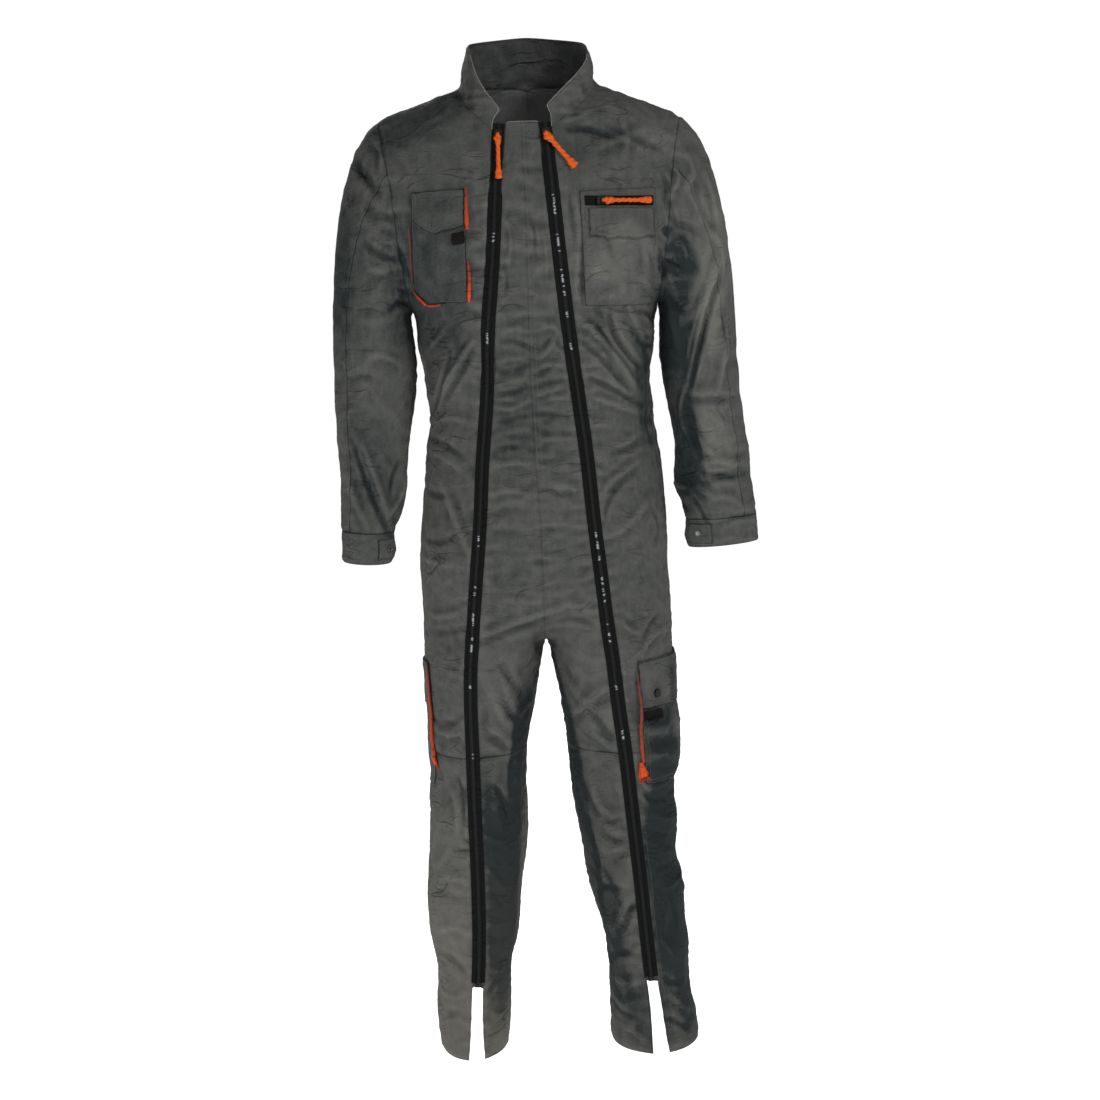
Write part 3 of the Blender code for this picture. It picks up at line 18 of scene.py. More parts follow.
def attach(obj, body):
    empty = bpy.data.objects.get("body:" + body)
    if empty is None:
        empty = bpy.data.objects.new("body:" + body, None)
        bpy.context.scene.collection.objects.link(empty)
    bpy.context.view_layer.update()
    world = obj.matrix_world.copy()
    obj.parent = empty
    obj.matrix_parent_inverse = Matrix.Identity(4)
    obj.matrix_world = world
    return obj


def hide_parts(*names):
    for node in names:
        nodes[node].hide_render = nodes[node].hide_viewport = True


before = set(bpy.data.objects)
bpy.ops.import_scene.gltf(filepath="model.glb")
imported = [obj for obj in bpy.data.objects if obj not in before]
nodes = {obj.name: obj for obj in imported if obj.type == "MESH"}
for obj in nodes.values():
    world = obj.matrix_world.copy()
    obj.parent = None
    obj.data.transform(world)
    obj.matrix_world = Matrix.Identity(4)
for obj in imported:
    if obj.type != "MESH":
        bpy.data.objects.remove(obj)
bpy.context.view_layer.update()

# %% [markdown]
# ## Small helpers
# A mesh built in bmesh has to become an object, and a stack of modifiers has to become plain
# mesh before the next step reads it. Both are done so often that they get a name.

# %% Helpers for objects
def bmesh_of(mesh):
    """A mesh, opened for editing."""
    bm = bmesh.new()
    bm.from_mesh(mesh)
    return bm


def write_back(bm, mesh):
    """Put an edited bmesh into a mesh and free it."""
    bm.to_mesh(mesh)
    bm.free()


def add_piece(name, bm, material=None):
    """Turn a bmesh into an object with smooth shading."""
    mesh = bpy.data.meshes.new(name)
    write_back(bm, mesh)
    piece = bpy.data.objects.new(name, mesh)
    bpy.context.scene.collection.objects.link(piece)
    mesh.shade_smooth()
    if material:
        mesh.materials.append(material)
    return piece


def flattened(piece):
    """Replace a piece's mesh by what its modifiers make of it."""
    graph = bpy.context.evaluated_depsgraph_get()
    mesh = bpy.data.meshes.new_from_object(piece.evaluated_get(graph), depsgraph=graph)
    piece.modifiers.clear()
    piece.data = mesh


def keep_corners(piece):
    """Mark the sharp corners of a sheet's outline, so that subdivision doesn't round them."""
    straightest = -0.80
    bm = bmesh_of(piece.data)
    layers = bm.verts.layers.float
    crease = layers.get("crease_vert") or layers.new("crease_vert")
    for vertex in bm.verts:
        rim = [e for e in vertex.link_edges if e.is_boundary]
        vertex[crease] = 0.0
        if len(rim) == 2:
            a, b = ((e.other_vert(vertex).co - vertex.co).normalized() for e in rim)
            vertex[crease] = 1.0 if a.dot(b) > straightest else 0.0
    write_back(bm, piece.data)


def subdivided(piece, levels):
    """Catmull-Clark subdivision, applied."""
    keep_corners(piece)
    modifier = piece.modifiers.new("Subdivision", "SUBSURF")
    modifier.levels = levels
    modifier.render_levels = levels
    flattened(piece)


def rows_of(items, key, width=3):
    """What every item of a mesh says about itself, as an array of rows."""
    flat = np.empty(len(items) * width)
    items.foreach_get(key, flat)
    return flat.reshape(-1, width)


def points_of(mesh):
    """Every vertex of a mesh."""
    return rows_of(mesh.vertices, "co")


def normals_of(mesh):
    """Every vertex normal of a mesh."""
    return rows_of(mesh.vertex_normals, "vector")


def move_points(mesh, points):
    """Put the vertices of a mesh at the rows of an array."""
    mesh.vertices.foreach_set("co", np.ascontiguousarray(points).ravel())
    mesh.update()


def tree_of(points):
    """Search tree over a list of points."""
    tree = KDTree(len(points))
    for number, point in enumerate(points):
        tree.insert(point, number)
    tree.balance()
    return tree


def edge_points(bm):
    """Points on the open edges of a sheet."""
    return [v.co.copy() for v in bm.verts if v.is_boundary]


def blend(share):
    """A share from 0 to 1 that starts and ends gently."""
    return share * share * (3 - 2 * share)


# %% Axes of a solid
def corners_of(name):
    """Corner points of a solid in the suit's frame."""
    node = nodes[name]
    return (points_of(node.data) @ np.array(node.matrix_world.to_3x3()).T
            + np.array(node.matrix_world.translation))


def axes_of(name):
    """Corners of a solid, its middle and its three directions, the longest first."""
    points = corners_of(name)
    middle = points.mean(axis=0)
    ways = np.linalg.eigh(np.cov((points - middle).T))[1]
    return points, middle, [ways[:, k] for k in (2, 1, 0)]


# %% [markdown]
# ## Shared effects
# Twill is a diagonal rib about three quarters of a millimetre wide, with yarns that are never
# quite even. Washed twill keeps fine crisp creases. Its colour is paler where it stands proud and
# darker down in a fold, a crease or a seam: partly wear and dark joints, and partly painted
# highlight on the crests and painted shade in the hollows. All three are node groups, so that
# every cloth on the suit can use them with its own values.

# %% Node group helpers
def new_group(name, inputs, outputs):
    """Shader node group with named sockets; each is (name, kind, value)."""
    tree = bpy.data.node_groups.new(name, "ShaderNodeTree")
    for label, kind, value in inputs:
        socket = tree.interface.new_socket(
            name=label, in_out="INPUT", socket_type="NodeSocket" + kind)
        if value is not None:
            socket.default_value = value
    for label, kind in outputs:
        tree.interface.new_socket(name=label, in_out="OUTPUT", socket_type="NodeSocket" + kind)
    return tree, tree.nodes.new("NodeGroupInput"), tree.nodes.new("NodeGroupOutput")


def feed(tree, socket, value):
    """Give an input a number, a colour or another node's output; None leaves it alone."""
    if isinstance(value, (int, float)):
        socket.default_value = value
    elif isinstance(value, tuple):
        socket.default_value = (*value, 1.0)
    elif value is not None:
        tree.links.new(value, socket)


def feed_all(tree, node, **values):
    """Give several inputs of a node at once. An underscore stands for a space."""
    for label, value in values.items():
        feed(tree, node.inputs[label.replace("_", " ")], value)


def math_node(tree, operation, first, second=None, third=None):
    """One step of arithmetic on sockets or plain numbers."""
    node = tree.nodes.new("ShaderNodeMath")
    node.operation = operation
    for socket, value in zip(node.inputs, (first, second, third)):
        feed(tree, socket, value)
    return node.outputs[0]


def scaled_node(tree, vector, scale):
    """A vector stretched by a factor of its own along each axis."""
    node = tree.nodes.new("ShaderNodeVectorMath")
    node.operation = "MULTIPLY"
    node.inputs[1].default_value = scale
    tree.links.new(vector, node.inputs[0])
    return node.outputs[0]


def noise_node(tree, vector, scale, detail=2.0):
    """Smooth noise, centred on one half."""
    node = tree.nodes.new("ShaderNodeTexNoise")
    feed_all(tree, node, Scale=scale, Detail=detail, Vector=vector)
    return node.outputs["Fac"]


def ramp_node(tree, value, low, high):
    """Value from low to high, stretched to 0 to 1."""
    node = tree.nodes.new("ShaderNodeMapRange")
    feed_all(tree, node, From_Min=low, From_Max=high, Value=value)
    return node.outputs["Result"]


def mix_node(tree, share, first, second):
    """Mix of two colours by a share."""
    node = tree.nodes.new("ShaderNodeMix")
    node.data_type = "RGBA"
    for number, value in ((0, share), (6, first), (7, second)):
        feed(tree, node.inputs[number], value)
    return node.outputs[2]


# %% Twill weave group
def make_weave():
    """Diagonal ribs with uneven yarns: a height for bump and a tone for colour."""
    tree, start, end = new_group(
        "twill weave",
        [("Vector", "Vector", None), ("Ribs per metre", "Float", 1300.0)],
        [("Height", "Float"), ("Tone", "Float")])
    parts = tree.nodes.new("ShaderNodeSeparateXYZ")
    tree.links.new(start.outputs["Vector"], parts.inputs[0])
    lean = math_node(tree, "MULTIPLY_ADD", parts.outputs["Y"], 0.5, parts.outputs["X"])
    turns = math_node(tree, "MULTIPLY", lean, start.outputs["Ribs per metre"])
    rib = math_node(tree, "SINE", math_node(tree, "MULTIPLY", turns, 2 * math.pi))
    lengthwise = scaled_node(tree, start.outputs["Vector"], (1.0, 0.12, 1.0))
    yarn = noise_node(tree, lengthwise, 620.0, 3.0)
    slub = noise_node(tree, lengthwise, 150.0)
    height = math_node(tree, "MULTIPLY_ADD", rib, 0.35, yarn)
    tone = math_node(tree, "MULTIPLY_ADD", slub, 0.6, math_node(tree, "MULTIPLY", yarn, 0.4))
    tree.links.new(height, end.inputs["Height"])
    tree.links.new(tone, end.inputs["Tone"])
    return tree


# %% Washed colour group
def make_wash_and_shade():
    """Colour of washed cloth, blotchy at large: paler on ridges and deeper in folds and seams, partly
    wear and dark joints and partly painted highlight and shade.
    """
    tree, start, end = new_group(
        "washed colour and painted shade",
        [("Object", "Vector", None), ("Tone", "Float", 0.5), ("Worn", "Float", 0.5),
         ("Seam", "Float", 0.0), ("Dust", "Float", 0.0), ("Shade", "Float", 0.0),
         ("Crease", "Float", 0.0),
         ("Deep", "Color", (0.03, 0.03, 0.03, 1)), ("Pale", "Color", (0.1, 0.1, 0.1, 1)),
         ("Dusty", "Color", (0.15, 0.14, 0.12, 1))],
        [("Color", "Color"), ("Roughness", "Float")])
    given = start.outputs
    blotch, cloud, mottle = (noise_node(tree, given["Object"], scale, detail)
                             for scale, detail in ((7.0, 3.0), (38.0, 3.0), (240.0, 4.0)))
    seam = math_node(tree, "POWER", given["Seam"], 3.0)
    level = math_node(tree, "MULTIPLY_ADD", blotch, 0.26, -0.13)
    # Painted light and shade: proud crests are painted paler and folds darker, fine creases lighter
    # on their ridges and darker in their grooves, seams darker, and the shade bands darker still.
    for value, weight in ((cloud, 0.10), (given["Tone"], 0.22), (given["Worn"], 0.36),
                          (mottle, 0.22), (given["Crease"], 0.055), (seam, -0.38),
                          (given["Shade"], -0.55)):
        level = math_node(tree, "MULTIPLY_ADD", value, weight, level)
    level = ramp_node(tree, level, 0.0, 0.9)
    plain = mix_node(tree, level, given["Deep"], given["Pale"])
    dusty = mix_node(tree, given["Dust"], plain, given["Dusty"])
    rough = math_node(tree, "MULTIPLY_ADD", level, -0.10, 0.90)
    tree.links.new(dusty, end.inputs["Color"])
    tree.links.new(rough, end.inputs["Roughness"])
    return tree


# %% Fine creases group
def make_creases():
    """Crisp creases of washed cloth: long thin ridges and grooves that come and go."""
    tree, start, end = new_group(
        "fine creases",
        [("Vector", "Vector", None), ("Scale", "Float", 14.0), ("Thin", "Float", 0.035)],
        [("Height", "Float")])
    spot = start.outputs["Vector"]
    squeezed = scaled_node(tree, spot, (0.8, 0.8, 1.7))
    wander = noise_node(tree, squeezed, start.outputs["Scale"], 0.6)
    away = math_node(tree, "ABSOLUTE", math_node(tree, "SUBTRACT", wander, 0.5))
    away = math_node(tree, "MINIMUM", math_node(tree, "DIVIDE", away, start.outputs["Thin"]), 1.0)
    line = math_node(tree, "POWER", math_node(tree, "SUBTRACT", 1.0, away), 1.5)
    patchy = ramp_node(tree, noise_node(tree, spot, 15.0), 0.42, 0.56)
    turned = math_node(tree, "MULTIPLY_ADD", noise_node(tree, spot, 19.0, 1.0), 8.0, -4.0)
    turned = math_node(tree, "MINIMUM", math_node(tree, "MAXIMUM", turned, -1.0), 1.0)
    height = math_node(tree, "MULTIPLY", math_node(tree, "MULTIPLY", line, patchy), turned)
    tree.links.new(height, end.inputs["Height"])
    return tree


weave_group = make_weave()
wash_and_shade_group = make_wash_and_shade()
crease_group = make_creases()
print("node groups:", weave_group.name, "and", wash_and_shade_group.name, "and", crease_group.name)

# %% [markdown]
# ## Materials
# The cloth's colour and bump come from the three groups. How much a finish mirrors is the same
# all over it, so that is set on the shader itself. Thread, moulded plastic and metal are simpler,
# but none of them is one flat value: each gets a fine unevenness of its own.

# %% Material helpers
def new_material(name, colour, roughness, metallic=0.0, specular=0.5):
    """Material with a Principled shader; returns it, its tree and the shader."""
    material = bpy.data.materials.new(name)
    material.use_nodes = True
    material.diffuse_color = (*colour, 1.0)
    shader = material.node_tree.nodes["Principled BSDF"]
    shader.inputs["Base Color"].default_value = (*colour, 1.0)
    shader.inputs["Roughness"].default_value = roughness
    shader.inputs["Metallic"].default_value = metallic
    shader.inputs["Specular IOR Level"].default_value = specular
    return material, material.node_tree, shader


def group_node(tree, group, **values):
    """Place a node group, with sockets or numbers on its inputs."""
    node = tree.nodes.new("ShaderNodeGroup")
    node.node_tree = group
    feed_all(tree, node, **values)
    return node


def bump_node(tree, height, distance, strength=1.0, before=None):
    """Bump from a height, in metres, on top of an earlier bump."""
    node = tree.nodes.new("ShaderNodeBump")
    feed_all(tree, node, Strength=strength, Distance=distance, Height=height, Normal=before)
    return node.outputs["Normal"]


def grain_node(tree, scale):
    """Noise that keeps its place on the piece."""
    return noise_node(tree, tree.nodes.new("ShaderNodeTexCoord").outputs["Object"], scale, 3.0)


def attribute_node(tree, name):
    """A value that is stored on the piece's own vertices."""
    node = tree.nodes.new("ShaderNodeAttribute")
    node.attribute_name = name
    return node.outputs["Fac"]


# %% Cloth material
def make_cloth(name, deep, pale, dusty, ribs):
    """Washed twill in one colourway."""
    material, tree, shader = new_material(name, pale, 0.86, specular=0.12)
    place = tree.nodes.new("ShaderNodeTexCoord")
    spot = place.outputs["Object"]
    weave = group_node(tree, weave_group, Vector=place.outputs["UV"], Ribs_per_metre=ribs)
    crumple = noise_node(tree, spot, 60.0, 3.0)
    crest = math_node(tree, "ABSOLUTE", math_node(tree, "MULTIPLY_ADD", crumple, 2.0, -1.0))
    creases = 0.0
    for scale, thin, share in ((13.0, 0.030, 1.0), (27.0, 0.045, 0.7), (55.0, 0.070, 0.3)):
        finer = group_node(tree, crease_group, Vector=spot, Scale=scale, Thin=thin)
        creases = math_node(tree, "MULTIPLY_ADD", finer.outputs["Height"], share, creases)
    stored = {label.capitalize(): attribute_node(tree, label)
              for label in ("worn", "seam", "dust", "shade")}
    # The fine creases go into the colour as well as the bump: painted highlight on their ridges and
    # painted shade in their grooves.
    wash_and_shade = group_node(tree, wash_and_shade_group, Object=spot, Tone=weave.outputs["Tone"], Crease=creases,
                      Deep=deep, Pale=pale, Dusty=dusty, **stored)
    relief = math_node(tree, "MULTIPLY_ADD", crest, -0.5, creases)
    soft = bump_node(tree, relief, 0.0026)
    feed_all(tree, shader, Base_Color=wash_and_shade.outputs["Color"], Roughness=wash_and_shade.outputs["Roughness"],
             Normal=bump_node(tree, weave.outputs["Height"], 0.00025, 0.8, soft))
    return material


# Pale warm dust colour for the right shin, where it is partly painted light.
dust_and_light_colour = (0.150, 0.138, 0.120)
twill = make_cloth("charcoal twill", (0.014, 0.018, 0.019), (0.128, 0.128, 0.118),
                   dust_and_light_colour, 1300.0)
reverse = make_cloth("reverse of the twill", (0.060, 0.060, 0.061), (0.175, 0.172, 0.170),
                     dust_and_light_colour, 1300.0)
piping_cloth = make_cloth("orange piping", (0.10, 0.010, 0.006), (0.78, 0.085, 0.010),
                          (0.105, 0.036, 0.030), 900.0)
tape_cloth = make_cloth("black tape", (0.0012, 0.0014, 0.0015), (0.0040, 0.0044, 0.0046),
                        (0.02, 0.02, 0.02), 1100.0)
tag_cloth = make_cloth("black tag", (0.0030, 0.0026, 0.0024), (0.014, 0.010, 0.009),
                       (0.05, 0.04, 0.03), 1100.0)

# %% Thread, plastic and metal
def make_hard(name, colour, roughness, metallic, scale, spread):
    """Hard finish with a fine unevenness in colour, gloss and surface."""
    material, tree, shader = new_material(name, colour, roughness, metallic, 0.18)
    grain = grain_node(tree, scale)
    dark = tuple(c * (1 - spread) for c in colour)
    light = tuple(min(c * (1 + spread), 1.0) for c in colour)
    feed_all(tree, shader, Base_Color=mix_node(tree, grain, dark, light),
             Roughness=math_node(tree, "MULTIPLY_ADD", grain, 0.16, roughness - 0.08),
             Normal=bump_node(tree, grain, 0.0001, 0.5))
    return material


thread = make_hard("charcoal thread", (0.085, 0.087, 0.082), 0.75, 0.0, 900.0, 0.35)
pale_thread = make_hard("grey overlock thread", (0.30, 0.30, 0.29), 0.8, 0.0, 900.0, 0.30)
lacquer = make_hard("black lacquer", (0.004, 0.004, 0.004), 0.50, 0.0, 300.0, 0.4)
nickel = make_hard("dull gunmetal", (0.11, 0.11, 0.11), 0.40, 1.0, 250.0, 0.25)


def make_teeth():
    """Black moulded plastic, with a painted glint in pale grey on the heads of a few teeth."""
    colour = (0.004, 0.0045, 0.005)
    material, tree, shader = new_material("black moulded teeth", colour, 0.45, specular=0.2)
    # Painted glint: the marked teeth's heads turn pale grey and a little glossier, broken up by a
    # grain.
    glint_grain = math_node(tree, "ADD", grain_node(tree, 90.0), 0.4)
    painted_glint = math_node(tree, "MULTIPLY", attribute_node(tree, "painted_glint"), glint_grain)
    dull, glint_grey = (0.0030, 0.0034, 0.0036), (0.34, 0.35, 0.36)
    feed_all(tree, shader, Base_Color=mix_node(tree, painted_glint, dull, glint_grey),
             Roughness=math_node(tree, "MULTIPLY_ADD", painted_glint, -0.20, 0.50))
    return material


tooth_plastic = make_teeth()
print("materials:", sorted(m.name for m in bpy.data.materials))

# %% Pull material
def make_pull():
    """Orange plastic-coated cord: dark red painted shade between its turns and on its back, and
    painted highlight on its crests and its front.
    """
    # The dark red is painted shade and the brighter orange painted highlight; the stored shading and
    # a grain mix them.
    colour, down, proud = (0.80, 0.10, 0.015), (0.13, 0.008, 0.003), (0.50, 0.075, 0.004)
    material, tree, shader = new_material("orange pull", colour, 0.50, specular=0.15)
    grain = grain_node(tree, 260.0)
    groove = math_node(tree, "MULTIPLY_ADD", grain, 0.9, attribute_node(tree, "worn"))
    share = ramp_node(tree, groove, 0.50, 1.30)
    feed_all(tree, shader, Base_Color=mix_node(tree, share, down, proud),
             Normal=bump_node(tree, grain, 0.0005, 0.6))
    return material


pull_orange = make_pull()

# %% [markdown]
# ## Camera, lights and floor
# The suit is seen from the height of its chest, looking a little down and rolled by two degrees.
# The key lamp stands high on the right, a weaker one low on the left and a third above the
# camera. A soft lamp high behind the suit keeps the back from going black. The floor is pale, and
# the camera sees the same pale tone round the suit from every side, so that it can be turned
# freely.

# %% Camera
camera_place = (0.0077, -3.2, -0.235)
tilt, roll = math.radians(8.4), math.radians(-2.2)
sensor_width = 36.0
focal_length_in_frames = 2083 / 1100


def turned_to(way):
    """Rotation that points a camera or a lamp along a direction."""
    return way.to_track_quat("-Z", "Y").to_matrix().to_4x4()


look = Vector((0, math.cos(tilt), -math.sin(tilt)))
camera = bpy.data.objects.new("camera", bpy.data.cameras.new("camera"))
bpy.context.scene.collection.objects.link(camera)
camera.matrix_world = (Matrix.Translation(camera_place) @ turned_to(look)
                       @ Matrix.Rotation(roll, 4, "Z"))
camera.data.sensor_width = sensor_width
camera.data.lens = focal_length_in_frames * sensor_width
bpy.context.scene.camera = camera
bpy.context.scene.view_settings.view_transform = "Standard"
print("camera: %.1f mm lens" % camera.data.lens)

# %% Lights
def add_light(name, place, target, size, power, colour):
    """Square area light that looks at a point."""
    lamp = bpy.data.lights.new(name, "AREA")
    lamp.size = size
    lamp.energy = power
    lamp.color = colour
    light = bpy.data.objects.new(name, lamp)
    light.visible_camera = False
    light.matrix_world = Matrix.Translation(place) @ turned_to(Vector(target) - Vector(place))
    bpy.context.scene.collection.objects.link(light)


add_light("key", (2.1, -2.1, 1.2), (0.05, 0, -0.35), 0.6, 58, (1.0, 1.0, 0.98))
add_light("low", (-2.3, -1.9, -1.2), (0, 0, -1.15), 0.6, 24, (1.0, 0.99, 0.97))
add_light("front", (-0.3, -3.3, 0.8), (0, 0, -0.5), 0.8, 24, (1, 1, 1))
add_light("back", (-0.9, 2.8, 1.0), (0, 0, -0.6), 1.2, 56, (1, 1, 1))
world = bpy.data.worlds.new("studio")
world.use_nodes = True
room = world.node_tree
room_light, extra_seen = 0.17, 0.85
camera_ray = room.nodes.new("ShaderNodeLightPath").outputs["Is Camera Ray"]
strength = math_node(room, "MULTIPLY_ADD", camera_ray, extra_seen, room_light)
feed_all(room, room.nodes["Background"], Color=(1, 1, 1), Strength=strength)
bpy.context.scene.world = world
print("lamps:", sorted(lamp.name for lamp in bpy.data.lights))

# %% Floor
floor_half_width, floor_height = 9.0, -1.56
floor_sheet = bmesh.new()
bmesh.ops.create_grid(floor_sheet, x_segments=1, y_segments=1, size=floor_half_width)
bmesh.ops.translate(floor_sheet, vec=(0, 0, floor_height), verts=floor_sheet.verts)
paper, _, paper_shader = new_material("studio paper", (0.92, 0.92, 0.92), 0.9)
paper_shader.inputs["Emission Color"].default_value = (1, 1, 1, 1)
paper_shader.inputs["Emission Strength"].default_value = 0.90
add_piece("floor", floor_sheet, paper)

# %% [markdown]
# ## The cut of each panel
# Every cloth solid is a closed wall. Its outer side alone is what a cutter would recognise as the
# panel, so the rim and the inner side are taken off a copy. Unwrapped, it gives the flat shape
# that is cut from the roll, and the direction in which the twill runs.

# %% Outer side of a wall
panel_names = ["collar"]
for part in ("front_inner", "front_outer", "lower_leg_inner", "lower_leg_outer", "back_upper",
             "back_leg", "upper_sleeve", "under_sleeve", "cuff"):
    panel_names += [part + "_right", part + "_left"]
same_place = 1e-5
thickest_wall = 0.0046
sleeve_middle, leg_middle, crotch = (0.26, -0.015), (0.12, 0.0), -0.86


def middle_of(name, height):
    """The middle of the hollow that a piece goes round, at a height."""
    side = -1 if name.endswith("right") else 1
    if "sleeve" in name or "cuff" in name:
        return Vector((side * sleeve_middle[0], sleeve_middle[1], height))
    if "thigh" in name or ("leg" in name and height < crotch):
        return Vector((side * leg_middle[0], leg_middle[1], height))
    return Vector((0, 0, height))


def outwards(name, face):
    """How much of a face looks away from the middle."""
    centre = face.calc_center_median()
    return face.calc_area() * face.normal.dot(centre - middle_of(name, centre.z))


def smooth_regions(bm):
    """Groups of faces that join without a sharp edge between them."""
    smooth_enough = 0.62
    left = set(bm.faces)
    while left:
        queue = [left.pop()]
        region = []
        while queue:
            face = queue.pop()
            region.append(face)
            for other in {f for e in face.edges for f in e.link_faces} & left:
                if other.normal.dot(face.normal) > smooth_enough:
                    left.discard(other)
                    queue.append(other)
        yield region


def outer_side(name, narrowest=0.0):
    """Outer side of a solid's wall, in quads where its triangles pair up."""
    pairing = math.radians(60)
    bm = bmesh_of(nodes[name].data)
    bmesh.ops.remove_doubles(bm, verts=bm.verts, dist=same_place)
    bm.normal_update()
    tree = BVHTree.FromBMesh(bm)
    rim = []
    for face in bm.faces:
        start = face.calc_center_median() - face.normal * 0.0002
        depth = tree.ray_cast(start, -face.normal, 0.02)[3]
        height = 2 * face.calc_area() / max(edge.calc_length() for edge in face.edges)
        if depth is None or depth > thickest_wall or height < narrowest:
            rim.append(face)
    bmesh.ops.delete(bm, geom=rim, context="FACES")
    best = max(smooth_regions(bm), key=lambda region: sum(outwards(name, f) for f in region))
    keep = set(best)
    bmesh.ops.delete(bm, geom=[f for f in bm.faces if f not in keep], context="FACES")
    bmesh.ops.join_triangles(bm, faces=bm.faces, angle_face_threshold=pairing,
                             angle_shape_threshold=pairing)
    return bm


# %% Flat pattern of a panel
def unwrapped(piece):
    """Lay a panel flat: its UV map in metres, upright. Returns its width, length and area."""
    for other in bpy.context.selected_objects:
        other.select_set(False)
    bpy.context.view_layer.objects.active = piece
    piece.select_set(True)
    bpy.ops.object.mode_set(mode="EDIT")
    bpy.ops.mesh.select_all(action="SELECT")
    bpy.ops.uv.unwrap(method="ANGLE_BASED", margin=0.0)
    bpy.ops.object.mode_set(mode="OBJECT")
    mesh = piece.data
    uv = rows_of(mesh.uv_layers.active.data, "uv", 2)
    corner = np.empty(len(mesh.loops), int)
    mesh.loops.foreach_get("vertex_index", corner)
    points = points_of(mesh)[corner]
    flat_area = 0.0
    for face in mesh.polygons:
        u = uv[face.loop_start:face.loop_start + face.loop_total]
        after = np.roll(u, -1, axis=0)
        flat_area += abs(np.sum(u[:, 0] * after[:, 1] - after[:, 0] * u[:, 1])) / 2
    area = sum(face.area for face in mesh.polygons)
    uv = (uv - uv.mean(axis=0)) * math.sqrt(area / flat_area)
    rise = (uv * (points[:, 2:3] - points[:, 2].mean())).sum(axis=0)
    turn = math.atan2(rise[0], rise[1])
    spin = np.array([[math.cos(turn), math.sin(turn)], [-math.sin(turn), math.cos(turn)]])
    uv = uv @ spin
    mesh.uv_layers.active.data.foreach_set("uv", uv.ravel())
    width, length = uv.max(axis=0) - uv.min(axis=0)
    return width, length, area


# %% Cut all the panels
def seam_of_ring(bm, side):
    """Mark one line of a closed cuff as its seam, so that it can lie flat."""
    def place(edge):
        return side * (edge.verts[0].co.x + edge.verts[1].co.x)

    upright = [e for e in bm.edges if abs((e.verts[0].co - e.verts[1].co).normalized().z) > 0.6]
    least = min(place(edge) for edge in upright)
    for edge in upright:
        edge.seam = edge.seam or place(edge) < least + 0.004


narrowest_face = 0.0042
panels = {}
cuts = {}
for name in panel_names:
    sheet = outer_side(name, narrowest_face)
    if name.startswith("cuff"):
        seam_of_ring(sheet, -1 if name.endswith("right") else 1)
    sheet.loops.layers.uv.new("cloth")
    panels[name] = add_piece("cut_" + name, sheet)
    cuts[name] = unwrapped(panels[name])
    print(name, "flat %.3f x %.3f m, %.4f m2" % cuts[name])

# %% [markdown]
# ## One skin
# Folds don't stop at a seam, so the panels are joined before they are folded and parted again
# afterwards. The skin remembers which panel each face belongs to. Two rounds of subdivision turn
# the coarse solids into a smooth surface with a point every seven millimetres.

# %% Join the panels
def joined_skin():
    """All panels as one mesh, welded along their seams."""
    weld = 0.0012
    bm = bmesh.new()
    bm.faces.layers.int.new("panel")
    for number, name in enumerate(panel_names):
        before = len(bm.faces)
        bm.from_mesh(panels[name].data)
        bm.faces.ensure_lookup_table()
        layer = bm.faces.layers.int["panel"]
        for face in bm.faces[before:]:
            face[layer] = number
        bpy.data.objects.remove(panels[name])
    bmesh.ops.remove_doubles(bm, verts=bm.verts, dist=weld)
    filled = bmesh.ops.holes_fill(bm, edges=bm.edges, sides=6)["faces"]
    layer = bm.faces.layers.int["panel"]
    flat = bm.loops.layers.uv["cloth"]
    for face in filled:
        near = next(f for e in face.edges for f in e.link_faces if f is not face)
        face[layer] = near[layer]
        for loop in face.loops:
            twins = [other for other in loop.vert.link_loops
                     if other.face is not face and other.face[layer] == near[layer]]
            if twins:
                loop[flat].uv = twins[0][flat].uv
    return bm


skin = add_piece("skin", joined_skin())
subdivided(skin, 2)
print("skin:", len(skin.data.polygons), "faces")
